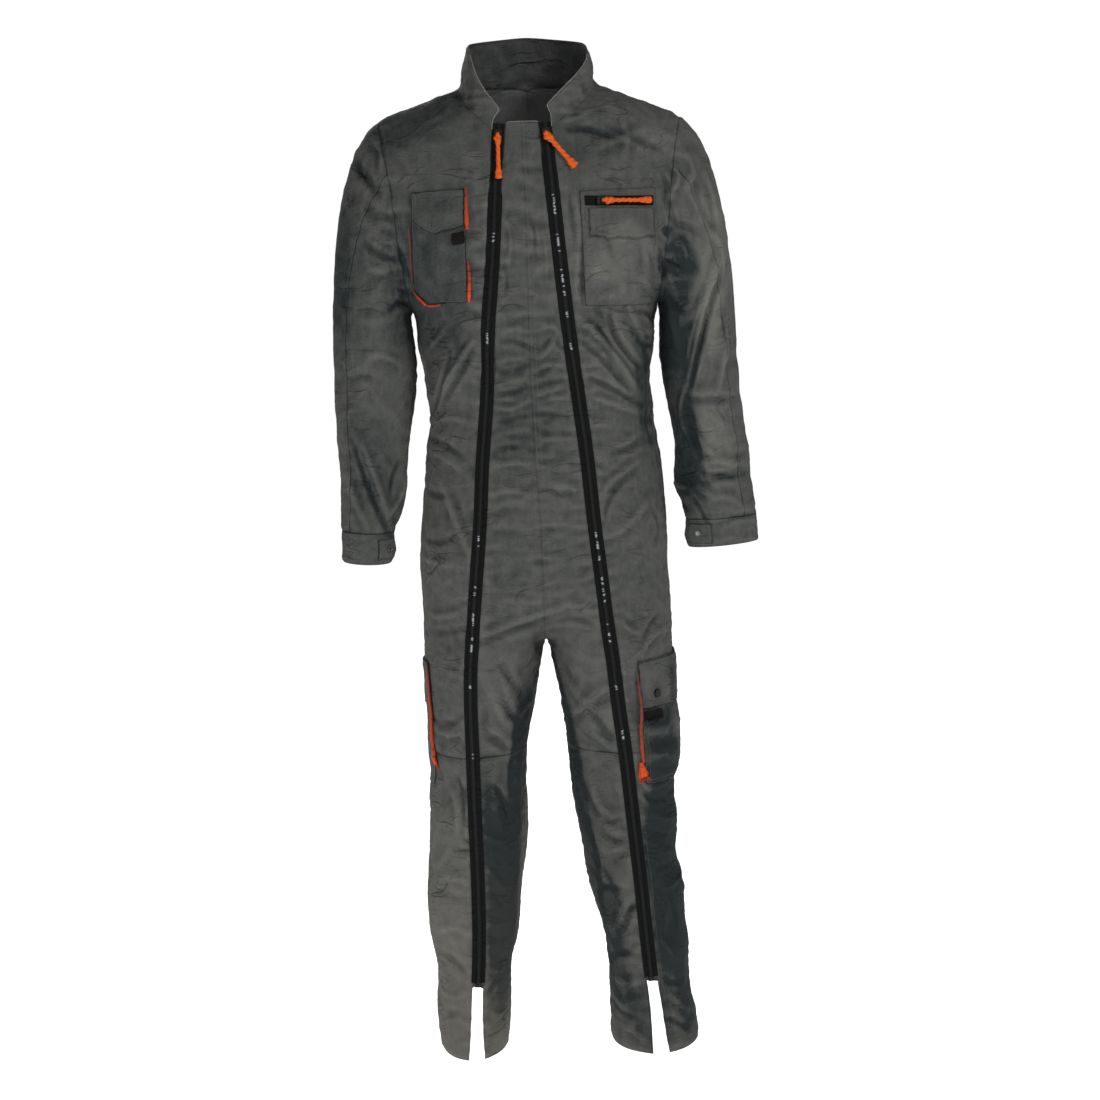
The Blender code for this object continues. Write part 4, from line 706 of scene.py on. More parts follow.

# %% [markdown]
# ## Folds listed in a table
# The solids carry the broad folds. The rest are drawn one by one: short pleats where the cloth is
# held by a zip, pulls from the armpit to the waist, the crumpled elbow and the soft bends behind
# the knee. Each row is a short curve through three points, how far the fold spreads to each
# side and how high it stands; a negative height is a trough. A fold dies away at its ends.

# %% Table of folds
# x, z of the start, middle and end, half width, height; all in millimetres.
FRONT_FOLDS = (
    (-270, -98, -248, -128, -230, -149, 11, -4), (-237, -74, -221, -90, -222, -120, 12, 4),
    (-251, -224, -232, -242, -205, -252, 10, -5), (-240, -207, -221, -220, -199, -228, 9, 4),
    (-240, -190, -219, -188, -200, -201, 9, -3.5), (-250, -256, -233, -266, -209, -265, 12, 4),
    (-201, -228, -195, -253, -187, -280, 10, -4), (-255, -396, -230, -395, -204, -409, 12, 3),
    (-294, -433, -266, -423, -242, -431, 14, -2.5), (-285, -518, -261, -600, -232, -672, 12, -6),
    (-269, -523, -250, -580, -235, -632, 12, 5), (-301, -555, -287, -605, -268, -650, 14, 4),
    (-208, -576, -215, -609, -238, -642, 10, 4), (-212, -553, -225, -577, -231, -607, 10, -4),
    (-217, -331, -204, -317, -189, -323, 12, -4), (-185, -360, -171, -409, -163, -485, 10, 5),
    (-129, -390, -144, -437, -163, -485, 9, -6), (-87, -369, -114, -400, -154, -463, 10, 6),
    (-94, -388, -113, -422, -149, -473, 9, -4), (-136, -360, -152, -375, -166, -391, 9, 3),
    (-169, -501, -140, -491, -104, -498, 14, 3), (-168, -525, -142, -533, -117, -552, 9, -5),
    (-169, -541, -142, -553, -122, -567, 11, 3.5), (-177, -602, -161, -609, -137, -605, 11, -3),
    (-159, -579, -136, -638, -108, -702, 14, 3), (-182, -673, -164, -680, -137, -668, 11, -3),
    (-190, -706, -165, -710, -134, -713, 12, 3), (-58, -409, -35, -402, -15, -405, 7, 3.5),
    (-61, -422, -36, -419, -14, -414, 7, -3), (-62, -441, -37, -434, -16, -432, 7, 3.5),
    (-60, -456, -35, -451, -17, -444, 7, -3), (-62, -475, -36, -474, -13, -464, 8, 3.5),
    (-64, -498, -34, -491, -14, -489, 8, -3), (-66, -515, -35, -508, -15, -507, 8, 3),
    (-71, -540, -41, -533, -16, -531, 8, -2.5), (-72, -562, -44, -558, -17, -561, 8, 2.5),
    (-59, -379, -34, -377, -10, -388, 8, -3), (-48, -362, -29, -358, -9, -364, 8, 3),
    (-4, -403, 14, -394, 32, -363, 9, 3.5), (-6, -430, 13, -421, 28, -407, 8, -3),
    (-6, -460, 12, -453, 29, -451, 8, 3), (-7, -490, 11, -485, 29, -491, 8, -2.5),
    (-8, -517, 9, -522, 28, -516, 8, 2.5), (-79, -602, -48, -598, -19, -606, 9, 2.5),
    (-80, -632, -50, -630, -20, -633, 9, -2), (-9, -604, 9, -600, 26, -610, 9, -2.5),
    (-42, -196, -33, -225, -37, -263, 8, 3), (-48, -263, -40, -282, -44, -311, 8, -2.5),
    (-3, -197, 3, -226, 0, -265, 7, -2.5), (16, -217, 19, -256, 18, -294, 8, 2.5),
    (-173, -161, -149, -177, -119, -173, 14, -2.5), (-149, -191, -128, -212, -121, -231, 14, 2.5),
    (27, -68, 61, -59, 101, -43, 14, 3), (46, -74, 90, -75, 133, -93, 14, -3),
    (135, -54, 144, -81, 140, -113, 9, 2.5), (115, -71, 163, -91, 202, -112, 16, -3),
    (89, -99, 129, -91, 180, -72, 16, 3), (209, -127, 218, -147, 207, -166, 10, 5),
    (193, -141, 200, -161, 191, -185, 9, -4), (232, -117, 241, -142, 224, -166, 12, 3.5),
    (255, -140, 267, -167, 276, -207, 12, 5), (246, -152, 250, -186, 270, -221, 11, -4),
    (187, -219, 198, -212, 209, -219, 7, 4), (187, -226, 197, -237, 209, -229, 7, 4),
    (210, -217, 228, -220, 248, -233, 9, -5), (210, -244, 222, -249, 226, -274, 8, 5),
    (193, -268, 207, -274, 222, -279, 8, -6), (194, -287, 211, -295, 231, -291, 10, 4),
    (197, -312, 208, -337, 225, -348, 10, -4), (199, -342, 205, -372, 209, -402, 10, 4),
    (185, -248, 189, -272, 192, -302, 9, -4), (269, -231, 282, -256, 282, -291, 9, 4),
    (279, -266, 255, -324, 220, -372, 12, 6), (267, -295, 240, -348, 205, -387, 11, -4),
    (256, -304, 234, -373, 224, -423, 9, 4), (238, -413, 255, -354, 272, -305, 9, -3),
    (286, -356, 279, -425, 261, -478, 14, 4), (254, -374, 243, -423, 232, -468, 12, 3),
    (222, -477, 256, -479, 300, -479, 8, -3.5), (222, -468, 256, -466, 296, -469, 10, 3),
    (221, -517, 234, -557, 252, -608, 9, -5), (230, -512, 249, -553, 279, -570, 12, 4),
    (247, -571, 279, -572, 315, -581, 8, 5), (243, -587, 273, -593, 313, -594, 8, -5),
    (233, -599, 242, -614, 257, -624, 8, 4), (226, -625, 238, -646, 247, -666, 8, -4),
    (247, -635, 272, -625, 299, -638, 12, 3), (267, -667, 293, -658, 320, -656, 10, -3),
    (196, -601, 209, -610, 223, -609, 8, 4), (198, -624, 211, -637, 221, -652, 8, -4),
    (65, -156, 68, -200, 69, -238, 7, 3), (55, -161, 58, -199, 61, -243, 7, -3),
    (70, -263, 67, -296, 68, -330, 8, -3), (107, -340, 123, -388, 156, -428, 9, -6),
    (87, -341, 111, -382, 143, -424, 10, 5), (65, -350, 101, -386, 152, -464, 11, 6),
    (59, -379, 97, -410, 146, -473, 10, -4), (140, -334, 149, -359, 166, -401, 9, 4),
    (147, -344, 166, -346, 180, -363, 8, -4), (149, -366, 165, -373, 180, -374, 8, 4),
    (154, -385, 167, -396, 175, -392, 8, -4), (76, -436, 111, -455, 154, -484, 9, -5),
    (71, -458, 110, -476, 151, -495, 12, 4), (162, -492, 164, -522, 173, -553, 8, -4),
    (111, -538, 129, -535, 150, -526, 9, 4), (105, -553, 128, -547, 149, -540, 9, -3),
    (85, -614, 112, -586, 151, -565, 10, 5), (87, -662, 106, -610, 142, -584, 10, -3),
    (93, -674, 129, -657, 162, -621, 14, 3), (167, -642, 174, -669, 170, -694, 8, -3),
    (6, -416, 28, -412, 43, -417, 8, 3), (5, -440, 27, -439, 44, -437, 8, -3),
    (5, -465, 31, -461, 48, -467, 8, 3), (5, -495, 30, -491, 49, -494, 8, -2.5),
    (5, -525, 29, -523, 51, -527, 9, 2.5), (5, -560, 33, -556, 52, -562, 9, -2.5),
    (6, -599, 36, -596, 56, -604, 10, 2.5), (8, -362, 25, -358, 42, -383, 8, 3),
    (7, -386, 27, -380, 44, -401, 8, -3), (-108, -820, -62, -804, -6, -788, 9, 5),
    (-106, -832, -62, -816, -17, -805, 12, -3), (-6, -788, 39, -775, 77, -790, 10, 4),
    (3, -805, 39, -799, 74, -810, 10, -2.5), (-75, -859, -60, -888, -47, -921, 8, -5),
    (-68, -885, -59, -916, -50, -949, 8, 4), (-78, -919, -67, -936, -58, -960, 7, -5),
    (-91, -897, -80, -929, -69, -964, 10, 3.5), (-51, -957, -38, -944, -27, -930, 8, 3),
    (-91, -963, -74, -979, -59, -1000, 9, 4), (-102, -970, -85, -988, -66, -1004, 9, -3),
    (-109, -916, -101, -949, -107, -980, 10, -3), (-166, -953, -152, -955, -134, -943, 11, -3),
    (-183, -969, -161, -973, -135, -967, 12, 3), (-93, -1055, -81, -1082, -70, -1122, 8, -5),
    (-99, -1078, -89, -1108, -81, -1138, 9, 4), (-66, -1020, -65, -1043, -71, -1068, 8, -3),
    (-149, -1040, -139, -1077, -145, -1136, 8, -4), (-160, -1058, -151, -1088, -154, -1131, 11, 3.5),
    (-107, -1135, -92, -1147, -74, -1153, 8, 5), (-105, -1160, -90, -1160, -75, -1172, 8, -4),
    (-112, -1186, -97, -1204, -80, -1235, 10, 4), (-106, -1230, -95, -1242, -81, -1263, 9, -3),
    (-183, -1208, -162, -1205, -135, -1211, 12, 3), (-193, -1235, -168, -1235, -137, -1246, 12, -2.5),
    (-190, -1294, -165, -1284, -141, -1295, 11, 3), (-189, -1334, -168, -1338, -148, -1363, 12, -3),
    (-114, -1277, -98, -1283, -80, -1283, 9, 3.5), (-117, -1300, -101, -1308, -83, -1308, 9, -3),
    (-100, -1369, -108, -1384, -119, -1394, 7, -5), (-111, -1350, -106, -1357, -86, -1363, 9, 4),
    (-190, -1396, -171, -1398, -146, -1389, 12, 3), (-183, -1435, -166, -1424, -148, -1432, 12, -2.5),
    (-111, -1421, -102, -1436, -89, -1428, 10, 3), (30, -901, 45, -926, 69, -944, 9, 5),
    (39, -948, 65, -920, 86, -905, 9, 4), (34, -968, 59, -941, 85, -925, 9, -4),
    (59, -944, 78, -971, 97, -999, 9, -4), (53, -977, 73, -990, 98, -1008, 9, 4),
    (69, -946, 84, -941, 91, -967, 8, 3), (19, -869, 31, -893, 40, -906, 10, -3),
    (49, -1071, 57, -1103, 69, -1122, 8, -5), (58, -1067, 65, -1095, 84, -1115, 9, 4),
    (64, -1115, 84, -1136, 106, -1140, 8, 5), (68, -1138, 83, -1152, 106, -1154, 8, -4),
    (65, -1167, 83, -1169, 103, -1165, 9, 3), (63, -1202, 71, -1216, 87, -1229, 9, 4),
    (68, -1239, 81, -1230, 101, -1239, 9, -3), (99, -1305, 108, -1276, 121, -1248, 8, -5),
    (89, -1298, 100, -1266, 111, -1244, 9, 4), (74, -1290, 84, -1310, 78, -1343, 9, 4),
    (78, -1362, 98, -1339, 123, -1347, 10, -3), (82, -1387, 102, -1388, 128, -1379, 10, 3),
    (78, -1431, 95, -1441, 120, -1445, 11, -3), (82, -1459, 104, -1464, 132, -1482, 11, 3),
    (134, -972, 161, -970, 195, -978, 10, 6), (139, -991, 160, -1002, 191, -995, 9, -5),
    (141, -1010, 162, -1006, 193, -1038, 11, 4), (132, -1054, 155, -1070, 188, -1056, 9, 6),
    (137, -1078, 160, -1093, 190, -1082, 9, -5), (146, -1106, 165, -1120, 193, -1131, 10, 4),
    (135, -1131, 156, -1145, 183, -1154, 10, -4), (134, -1155, 158, -1165, 189, -1193, 10, 4),
    (164, -1232, 180, -1231, 199, -1223, 9, 5), (153, -1241, 164, -1265, 167, -1300, 9, 4),
    (169, -1238, 179, -1269, 183, -1303, 9, -4), (148, -1213, 165, -1200, 193, -1215, 9, -3),
    (153, -1305, 166, -1328, 181, -1353, 10, 4), (159, -1375, 175, -1390, 192, -1387, 10, -4),
    (166, -1404, 185, -1426, 207, -1454, 11, 4), (159, -1440, 178, -1454, 203, -1476, 11, -3),
    (134, -1174, 141, -1207, 142, -1245, 9, -3), (144, -836, 155, -818, 172, -801, 10, -3),
    (138, -860, 160, -834, 182, -830, 9, 3), (114, -803, 124, -819, 144, -826, 10, 3),
    (-180, -790, -158, -791, -126, -779, 12, 3), (-181, -816, -154, -816, -128, -807, 12, -2.5),
    (275, -256, 247, -353, 224, -453, 9, 6), (224, -453, 213, -494, 226, -540, 9, 5),
    (226, -540, 235, -563, 245, -582, 9, 5), (241, -574, 259, -572, 294, -579, 7, 4),
    (237, -583, 258, -593, 298, -588, 7, -4),
)
BACK_FOLDS = (
    (-168, -480, -110, -455, -40, -440, 14, 5), (172, -485, 100, -462, 30, -446, 14, 5),
    (-160, -505, -80, -500, 10, -515, 14, -5), (165, -515, 90, -505, 0, -520, 13, -4),
    (-150, -540, -60, -548, 40, -530, 15, 5), (150, -560, 60, -572, -50, -560, 14, 4),
    (-120, -420, -60, -405, 10, -410, 13, -4), (130, -425, 60, -410, -10, -400, 13, 3),
    (-175, -335, -150, -300, -135, -240, 12, 5), (178, -340, 152, -300, 138, -235, 12, 5),
    (-185, -310, -168, -270, -160, -210, 10, -4), (186, -315, 170, -270, 160, -205, 10, -4),
    (-90, -160, -40, -150, 20, -158, 16, 3), (110, -190, 60, -182, 0, -190, 16, -3),
    (-60, -90, -20, -84, 30, -92, 14, 3), (-140, -110, -100, -125, -60, -120, 13, 3),
    (140, -105, 100, -122, 62, -118, 13, 3), (-150, -660, -90, -680, -20, -672, 18, 4),
    (150, -665, 90, -684, 25, -676, 18, 4), (-20, -800, -60, -830, -110, -850, 12, 5),
    (15, -802, 60, -832, 115, -855, 12, 5), (-25, -830, -70, -862, -130, -872, 11, -4),
    (22, -835, 70, -868, 130, -880, 11, -4), (-170, -900, -120, -915, -60, -905, 14, 4),
    (175, -905, 120, -918, 60, -910, 14, 4), (-185, -1040, -120, -1055, -60, -1045, 10, 6),
    (-180, -1062, -120, -1074, -70, -1068, 9, -6), (-188, -1085, -125, -1092, -65, -1100, 10, 6),
    (-180, -1112, -120, -1118, -75, -1126, 10, -5), (-170, -1000, -120, -1015, -70, -1008, 12, 4),
    (185, -1038, 120, -1052, 50, -1042, 10, 6), (180, -1060, 120, -1072, 60, -1066, 9, -6),
    (188, -1084, 120, -1096, 55, -1090, 10, 6), (182, -1114, 120, -1122, 60, -1116, 10, -5),
    (175, -1002, 120, -1016, 60, -1006, 12, 4), (-185, -1160, -130, -1180, -90, -1210, 13, 4),
    (188, -1165, 130, -1182, 80, -1215, 13, 4), (-100, -1240, -140, -1262, -185, -1255, 13, -4),
    (90, -1245, 140, -1266, 190, -1258, 13, -4), (-180, -1320, -140, -1330, -95, -1350, 12, 4),
    (185, -1318, 145, -1332, 95, -1352, 12, 4), (-185, -1400, -150, -1396, -110, -1410, 12, 3),
    (190, -1398, 150, -1402, 110, -1414, 12, 3), (-300, -400, -260, -415, -215, -405, 11, 4),
    (-298, -432, -255, -440, -212, -430, 10, -5), (-300, -462, -262, -472, -215, -466, 10, 5),
    (-295, -500, -260, -505, -222, -498, 11, -4), (300, -405, 258, -418, 214, -408, 11, 4),
    (298, -436, 256, -446, 212, -438, 10, -5), (302, -468, 258, -474, 214, -470, 10, 5),
    (300, -505, 262, -510, 222, -502, 11, -4), (-285, -250, -240, -230, -210, -240, 12, 4),
    (285, -255, 242, -232, 208, -244, 12, 4), (-290, -560, -262, -590, -250, -630, 11, 4),
    (300, -570, 275, -595, 262, -628, 11, 4), (-270, -160, -235, -170, -215, -200, 12, -4),
    (268, -158, 236, -170, 214, -198, 12, -4), (-300, -330, -262, -340, -220, -330, 14, 3),
    (300, -335, 260, -344, 222, -336, 14, 3),
)

POCKET_FOLDS = (
    (96, -235, 102, -252, 111, -267, 6, 2.5), (107, -235, 113, -250, 117, -267, 6, -2),
    (85, -266, 105, -287, 134, -300, 7, 2), (153, -237, 157, -260, 152, -286, 6, -3.5),
    (159, -238, 164, -260, 163, -283, 6, 3), (168, -246, 171, -266, 174, -290, 5, -3),
    (150, -289, 163, -301, 176, -310, 6, 3), (154, -303, 165, -315, 177, -320, 6, -3),
    (95, -307, 118, -318, 142, -320, 7, 2), (84, -212, 113, -218, 157, -217, 7, -1.2),
    (114, -276, 125, -296, 130, -323, 6, 2), (80, -243, 82, -266, 80, -298, 6, 1.5),
    (-174, -175, -156, -166, -132, -164, 7, -2), (-171, -184, -154, -199, -128, -206, 7, 2),
    (-170, -224, -159, -242, -155, -266, 7, -2), (-147, -225, -127, -238, -110, -241, 7, 1.5),
    (-180, -256, -167, -277, -144, -289, 9, 2), (-137, -257, -120, -273, -106, -285, 7, 1.5),
    (-160, -257, -147, -283, -124, -301, 7, -2), (138, -877, 162, -868, 182, -861, 6, 3),
    (145, -965, 158, -968, 179, -963, 7, -4), (141, -982, 160, -981, 181, -985, 8, 5),
    (150, -1006, 165, -1000, 183, -1004, 7, -4), (143, -1023, 159, -1016, 177, -1023, 7, 4),
    (157, -1031, 170, -1041, 185, -1042, 7, -3), (180, -919, 173, -934, 179, -953, 5, -3),
    (168, -897, 180, -903, 190, -898, 5, 3), (184, -969, 190, -976, 184, -988, 7, 5),
)


# %% Fold function
def bend(row, steps=8):
    """The short curve of one fold as points in metres."""
    start, middle, end = (np.array(row[i:i + 2]) / 1000 for i in (0, 2, 4))
    pull = 2 * middle - (start + end) / 2
    t = np.linspace(0, 1, steps + 1)[:, None]
    return (1 - t) ** 2 * start + 2 * t * (1 - t) * pull + t ** 2 * end


def fold_heights(points, facing, rows, share, profile="soft"):
    """How far each point is lifted by a table of folds. facing is 1 where it faces the table.

    A soft fold is a round hump, a sharp one a narrow ridge, and a band is flat with crisp sides.
    """
    width = 0.62 if profile == "sharp" else 1.0
    crispness = 2.2 if profile == "band" else 1.0
    lift = np.zeros(len(points))
    flat = points[:, (0, 2)]
    for row in rows:
        line = bend(row)
        half, height = row[6] / 1000 * width, row[7] / 1000 * share
        low, high = line.min(axis=0) - half, line.max(axis=0) + half
        near = np.nonzero(((flat > low) & (flat < high)).all(axis=1) & (facing > 0))[0]
        if not len(near):
            continue
        place = flat[near]
        gap = np.full(len(near), 1e9)
        along = np.zeros(len(near))
        for k in range(len(line) - 1):
            way = line[k + 1] - line[k]
            t = np.clip((place - line[k]) @ way / (way @ way + 1e-12), 0, 1)
            distance = np.linalg.norm(place - line[k] - t[:, None] * way, axis=1)
            better = distance < gap
            gap[better] = distance[better]
            along[better] = ((k + t) / (len(line) - 1))[better]
        side = np.clip((1 - gap / half) * crispness, 0, 1)
        crest = side ** 1.7 if profile == "sharp" else blend(side)
        ends = np.clip(np.minimum(along, 1 - along) * 4, 0, 1)
        lift[near] += height * crest * (0.25 + 0.75 * ends) * facing[near]
    return lift


quiet_reach, quiet_fade = 0.034, 0.022
quiet_tree = tree_of([Vector(point) for part in ("pull_", "slider_")
                      for end in ("right", "left", "chest") for point in corners_of(part + end)])


def quietness(points):
    """1 under the pulls, where the cloth lies still so that they can swing, and 0 away from them."""
    gap = np.array([quiet_tree.find(Vector(p))[2] for p in points])
    return blend(np.clip((quiet_reach - gap) / quiet_fade, 0, 1))


def near_edge(piece, reach):
    """How near each point is to an open edge: 1 on the edge and 0 beyond a reach."""
    bm = bmesh_of(piece.data)
    tree = tree_of(edge_points(bm))
    near = np.array([max(0.0, 1 - tree.find(v.co)[2] / reach) for v in bm.verts])
    bm.free()
    return near


def fold(piece, share, profile="soft"):
    """Lift a piece's points along their normals by all folds, at a share of their height."""
    points, normals = points_of(piece.data), normals_of(piece.data)
    front = np.clip((0.25 - normals[:, 1]) / 0.5, 0, 1)
    back = np.clip((0.25 + normals[:, 1]) / 0.5, 0, 1)
    lift = fold_heights(points, front, FRONT_FOLDS, share, profile)
    lift += fold_heights(points, back, BACK_FOLDS, share, profile)
    lift *= (1 - 0.8 * near_edge(piece, 0.012)) * (1 - quietness(points))
    move_points(piece.data, points + normals * lift[:, None])
    return lift


soft_share, sharp_share = 0.32, 0.95
unfolded = points_of(skin.data)
lift = fold(skin, soft_share)
print("folds:", len(FRONT_FOLDS) + len(BACK_FOLDS), "highest %.1f mm" % (lift.max() * 1000))

# %% [markdown]
# ## Letting the cloth find its own creases
# Real cloth is a little longer than the seam that holds it, and the spare length buckles. That is
# simulated: the skin grows by a few per cent, most of all beside the zips, while a weak hold
# keeps it near its form and the zip edges stay where they are sewn. Gravity is off, because the
# form already hangs.

# %% Vertex groups for the simulation
edge_reach = 0.03
waist_height, waist_reach = -0.45, 0.10
collar_half_width, sleeve_start, knee_height = 0.11, 0.200, -0.95


def prepare(piece):
    """Groups that say how firmly each point is held and how much its cloth grows."""
    hold = piece.vertex_groups.new(name="hold")
    grow = piece.vertex_groups.new(name="grow")
    bm = bmesh_of(piece.data)
    tree = tree_of(edge_points(bm))
    for vertex in bm.verts:
        x, _, z = vertex.co
        near = max(0.0, 1 - tree.find(vertex.co)[2] / edge_reach)
        collar = 0.10 if z > 0.0 and abs(x) < collar_half_width else 0.0
        firm = 0.0022 + 0.02 * near ** 2 + collar
        hold.add([vertex.index], 1.0 if vertex.is_boundary else firm, "REPLACE")
        waist = 0.2 * max(0.0, 1 - abs(z - waist_height) / waist_reach)
        sleeve = 0.6 if abs(x) > sleeve_start else 0.0
        shin = 0.6 if z < knee_height else 0.0
        grow.add([vertex.index], min(1.0, 0.5 * near + waist + sleeve + shin), "REPLACE")
    bm.free()


# %% Run the simulation
def settle(piece, frames):
    """Cloth simulation with its result applied."""
    cloth = piece.modifiers.new("Cloth", "CLOTH")
    values = cloth.settings
    values.quality = 4
    values.mass = 0.1
    values.air_damping = 5
    values.tension_stiffness = 20
    values.compression_stiffness = 20
    values.shear_stiffness = 10
    values.bending_stiffness = 0.015
    values.vertex_group_mass = "hold"
    values.pin_stiffness = 1.0
    values.vertex_group_shrink = "grow"
    values.shrink_min = -0.005
    values.shrink_max = -0.036
    values.effector_weights.gravity = 0
    cloth.collision_settings.use_collision = False
    cloth.point_cache.frame_start = 1
    cloth.point_cache.frame_end = frames + 2
    for number in range(1, frames + 1):
        bpy.context.scene.frame_set(number)
    flattened(piece)
    bpy.context.scene.frame_set(1)


frames_to_settle = 24
farthest_move = 0.012
before = points_of(skin.data)
prepare(skin)
settle(skin, frames_to_settle)
skin.vertex_groups.clear()
after = points_of(skin.data)
way = after - before
length = np.linalg.norm(way, axis=1, keepdims=True)
after = before + way * np.minimum(1, farthest_move / np.maximum(length, 1e-9))
still = quietness(unfolded)[:, None]
move_points(skin.data, after + (unfolded - after) * still)
print("cloth moved %.1f mm at most" % (length.max() * 1000))

# %% [markdown]
# ## Fine relief, wear and painted shade
# One more subdivision gives a point every three and a half millimetres. The folds get their crisp
# crests back, the cloth puckers where it is stitched, and each seam sinks a little. The same pass
# stores how proud each point stands, which paints the colour paler on the crests and darker in the
# folds, partly as wear and partly as painted highlight and shade. Bands of painted shade and light
# are stored with it.

# %% Seam lines of the skin
subdivided(skin, 1)
print("fine skin:", len(skin.data.polygons), "faces")


def seam_points(mesh):
    """Points of the seams between panels, and of the open edges."""
    bm = bmesh_of(mesh)
    layer = bm.faces.layers.int["panel"]
    seams, edges = set(), set()
    for edge in bm.edges:
        linked = edge.link_faces
        if len(linked) == 1:
            edges.update(v.index for v in edge.verts)
        elif len({f[layer] for f in linked}) > 1:
            seams.update(v.index for v in edge.verts)
    bm.free()
    return sorted(seams - edges), sorted(edges)


seams, edges = seam_points(skin.data)
print("seam points:", len(seams), "edge points:", len(edges))


# %% Pucker and sink the seams
def pucker(piece):
    """Small gathers beside every stitched line, and a shallow groove along each seam."""
    gather_reach, gather_height, crumple_height = 0.016, 0.0022, 0.0026
    hem_width, hem_sink, seam_sink = 0.0045, 0.0014, 0.0003
    points, normals = points_of(piece.data), normals_of(piece.data)
    tree = tree_of([Vector(points[i]) for i in seams + edges])
    edge_tree = tree_of([Vector(points[i]) for i in edges])
    lift = np.zeros(len(points))
    gap = np.zeros(len(points))
    for number, point in enumerate(points):
        spot = Vector(point)
        gap[number] = tree.find(spot)[2]
        hem = edge_tree.find(spot)[2]
        near = math.exp(-gap[number] / gather_reach)
        centre = 0.55 * (abs(spot.x) < 0.09 and spot.y < 0 and spot.z > -0.80)
        thin = Vector((spot.x * 26, spot.y * 26, spot.z * 105))
        gather = noise.noise(thin) + 0.5 * noise.noise(thin * 1.9)
        rough = noise.noise(spot * 34)
        crumple = abs(rough) - 0.2 + 0.45 * abs(noise.noise(spot * 80))
        held = min(1.0, hem / 0.004)
        gather *= min(1.0, near + centre)
        lift[number] = held * (gather_height * gather - crumple_height * crumple)
        lift[number] -= hem_sink * max(0.0, 1 - hem / hem_width)
    lift *= 1 - quietness(points)
    lift[seams] -= seam_sink
    move_points(piece.data, points + normals * lift[:, None])
    return gap


fold(skin, sharp_share, "sharp")
gap = pucker(skin)


# %% Store wear, seams, dust and painted light and shade
def proudness(mesh, rounds):
    """How far each point stands out of its surroundings, from 0 in a fold to 1 on a crest."""
    points, normals = points_of(mesh), normals_of(mesh)
    ends = np.empty(len(mesh.edges) * 2, int)
    mesh.edges.foreach_get("vertices", ends)
    a, b = ends.reshape(-1, 2).T
    count = np.bincount(a, minlength=len(points)) + np.bincount(b, minlength=len(points))

    def around(values):
        total = np.bincount(a, values[b], len(points)) + np.bincount(b, values[a], len(points))
        return total / count

    soft = points
    for _ in range(rounds):
        soft = np.stack([around(soft[:, k]) for k in range(3)], axis=1)
    proud = ((points - soft) * normals).sum(axis=1)
    proud = around(proud)
    return np.clip(0.5 + proud / (2 * np.percentile(abs(proud), 96)), 0, 1)


def shin_dust_and_light(points):
    """Pale dust low on the right shin, from 0 to 1, partly dust and partly painted light where the
    low lamp falls.
    """
    shin_top, shin_length = -0.98, 0.45
    low = np.clip((shin_top - points[:, 2]) / shin_length, 0, 1)
    across = np.clip((0.02 - points[:, 0]) / 0.08, 0, 1)
    return low * (0.06 + 0.34 * across)


def store(mesh, **values):
    """Keep numbers on the vertices, each set as an attribute of its own name."""
    for name, numbers in values.items():
        kept = mesh.attributes.get(name) or mesh.attributes.new(name, "FLOAT", "POINT")
        kept.data.foreach_set("value", np.asarray(numbers, np.float32))
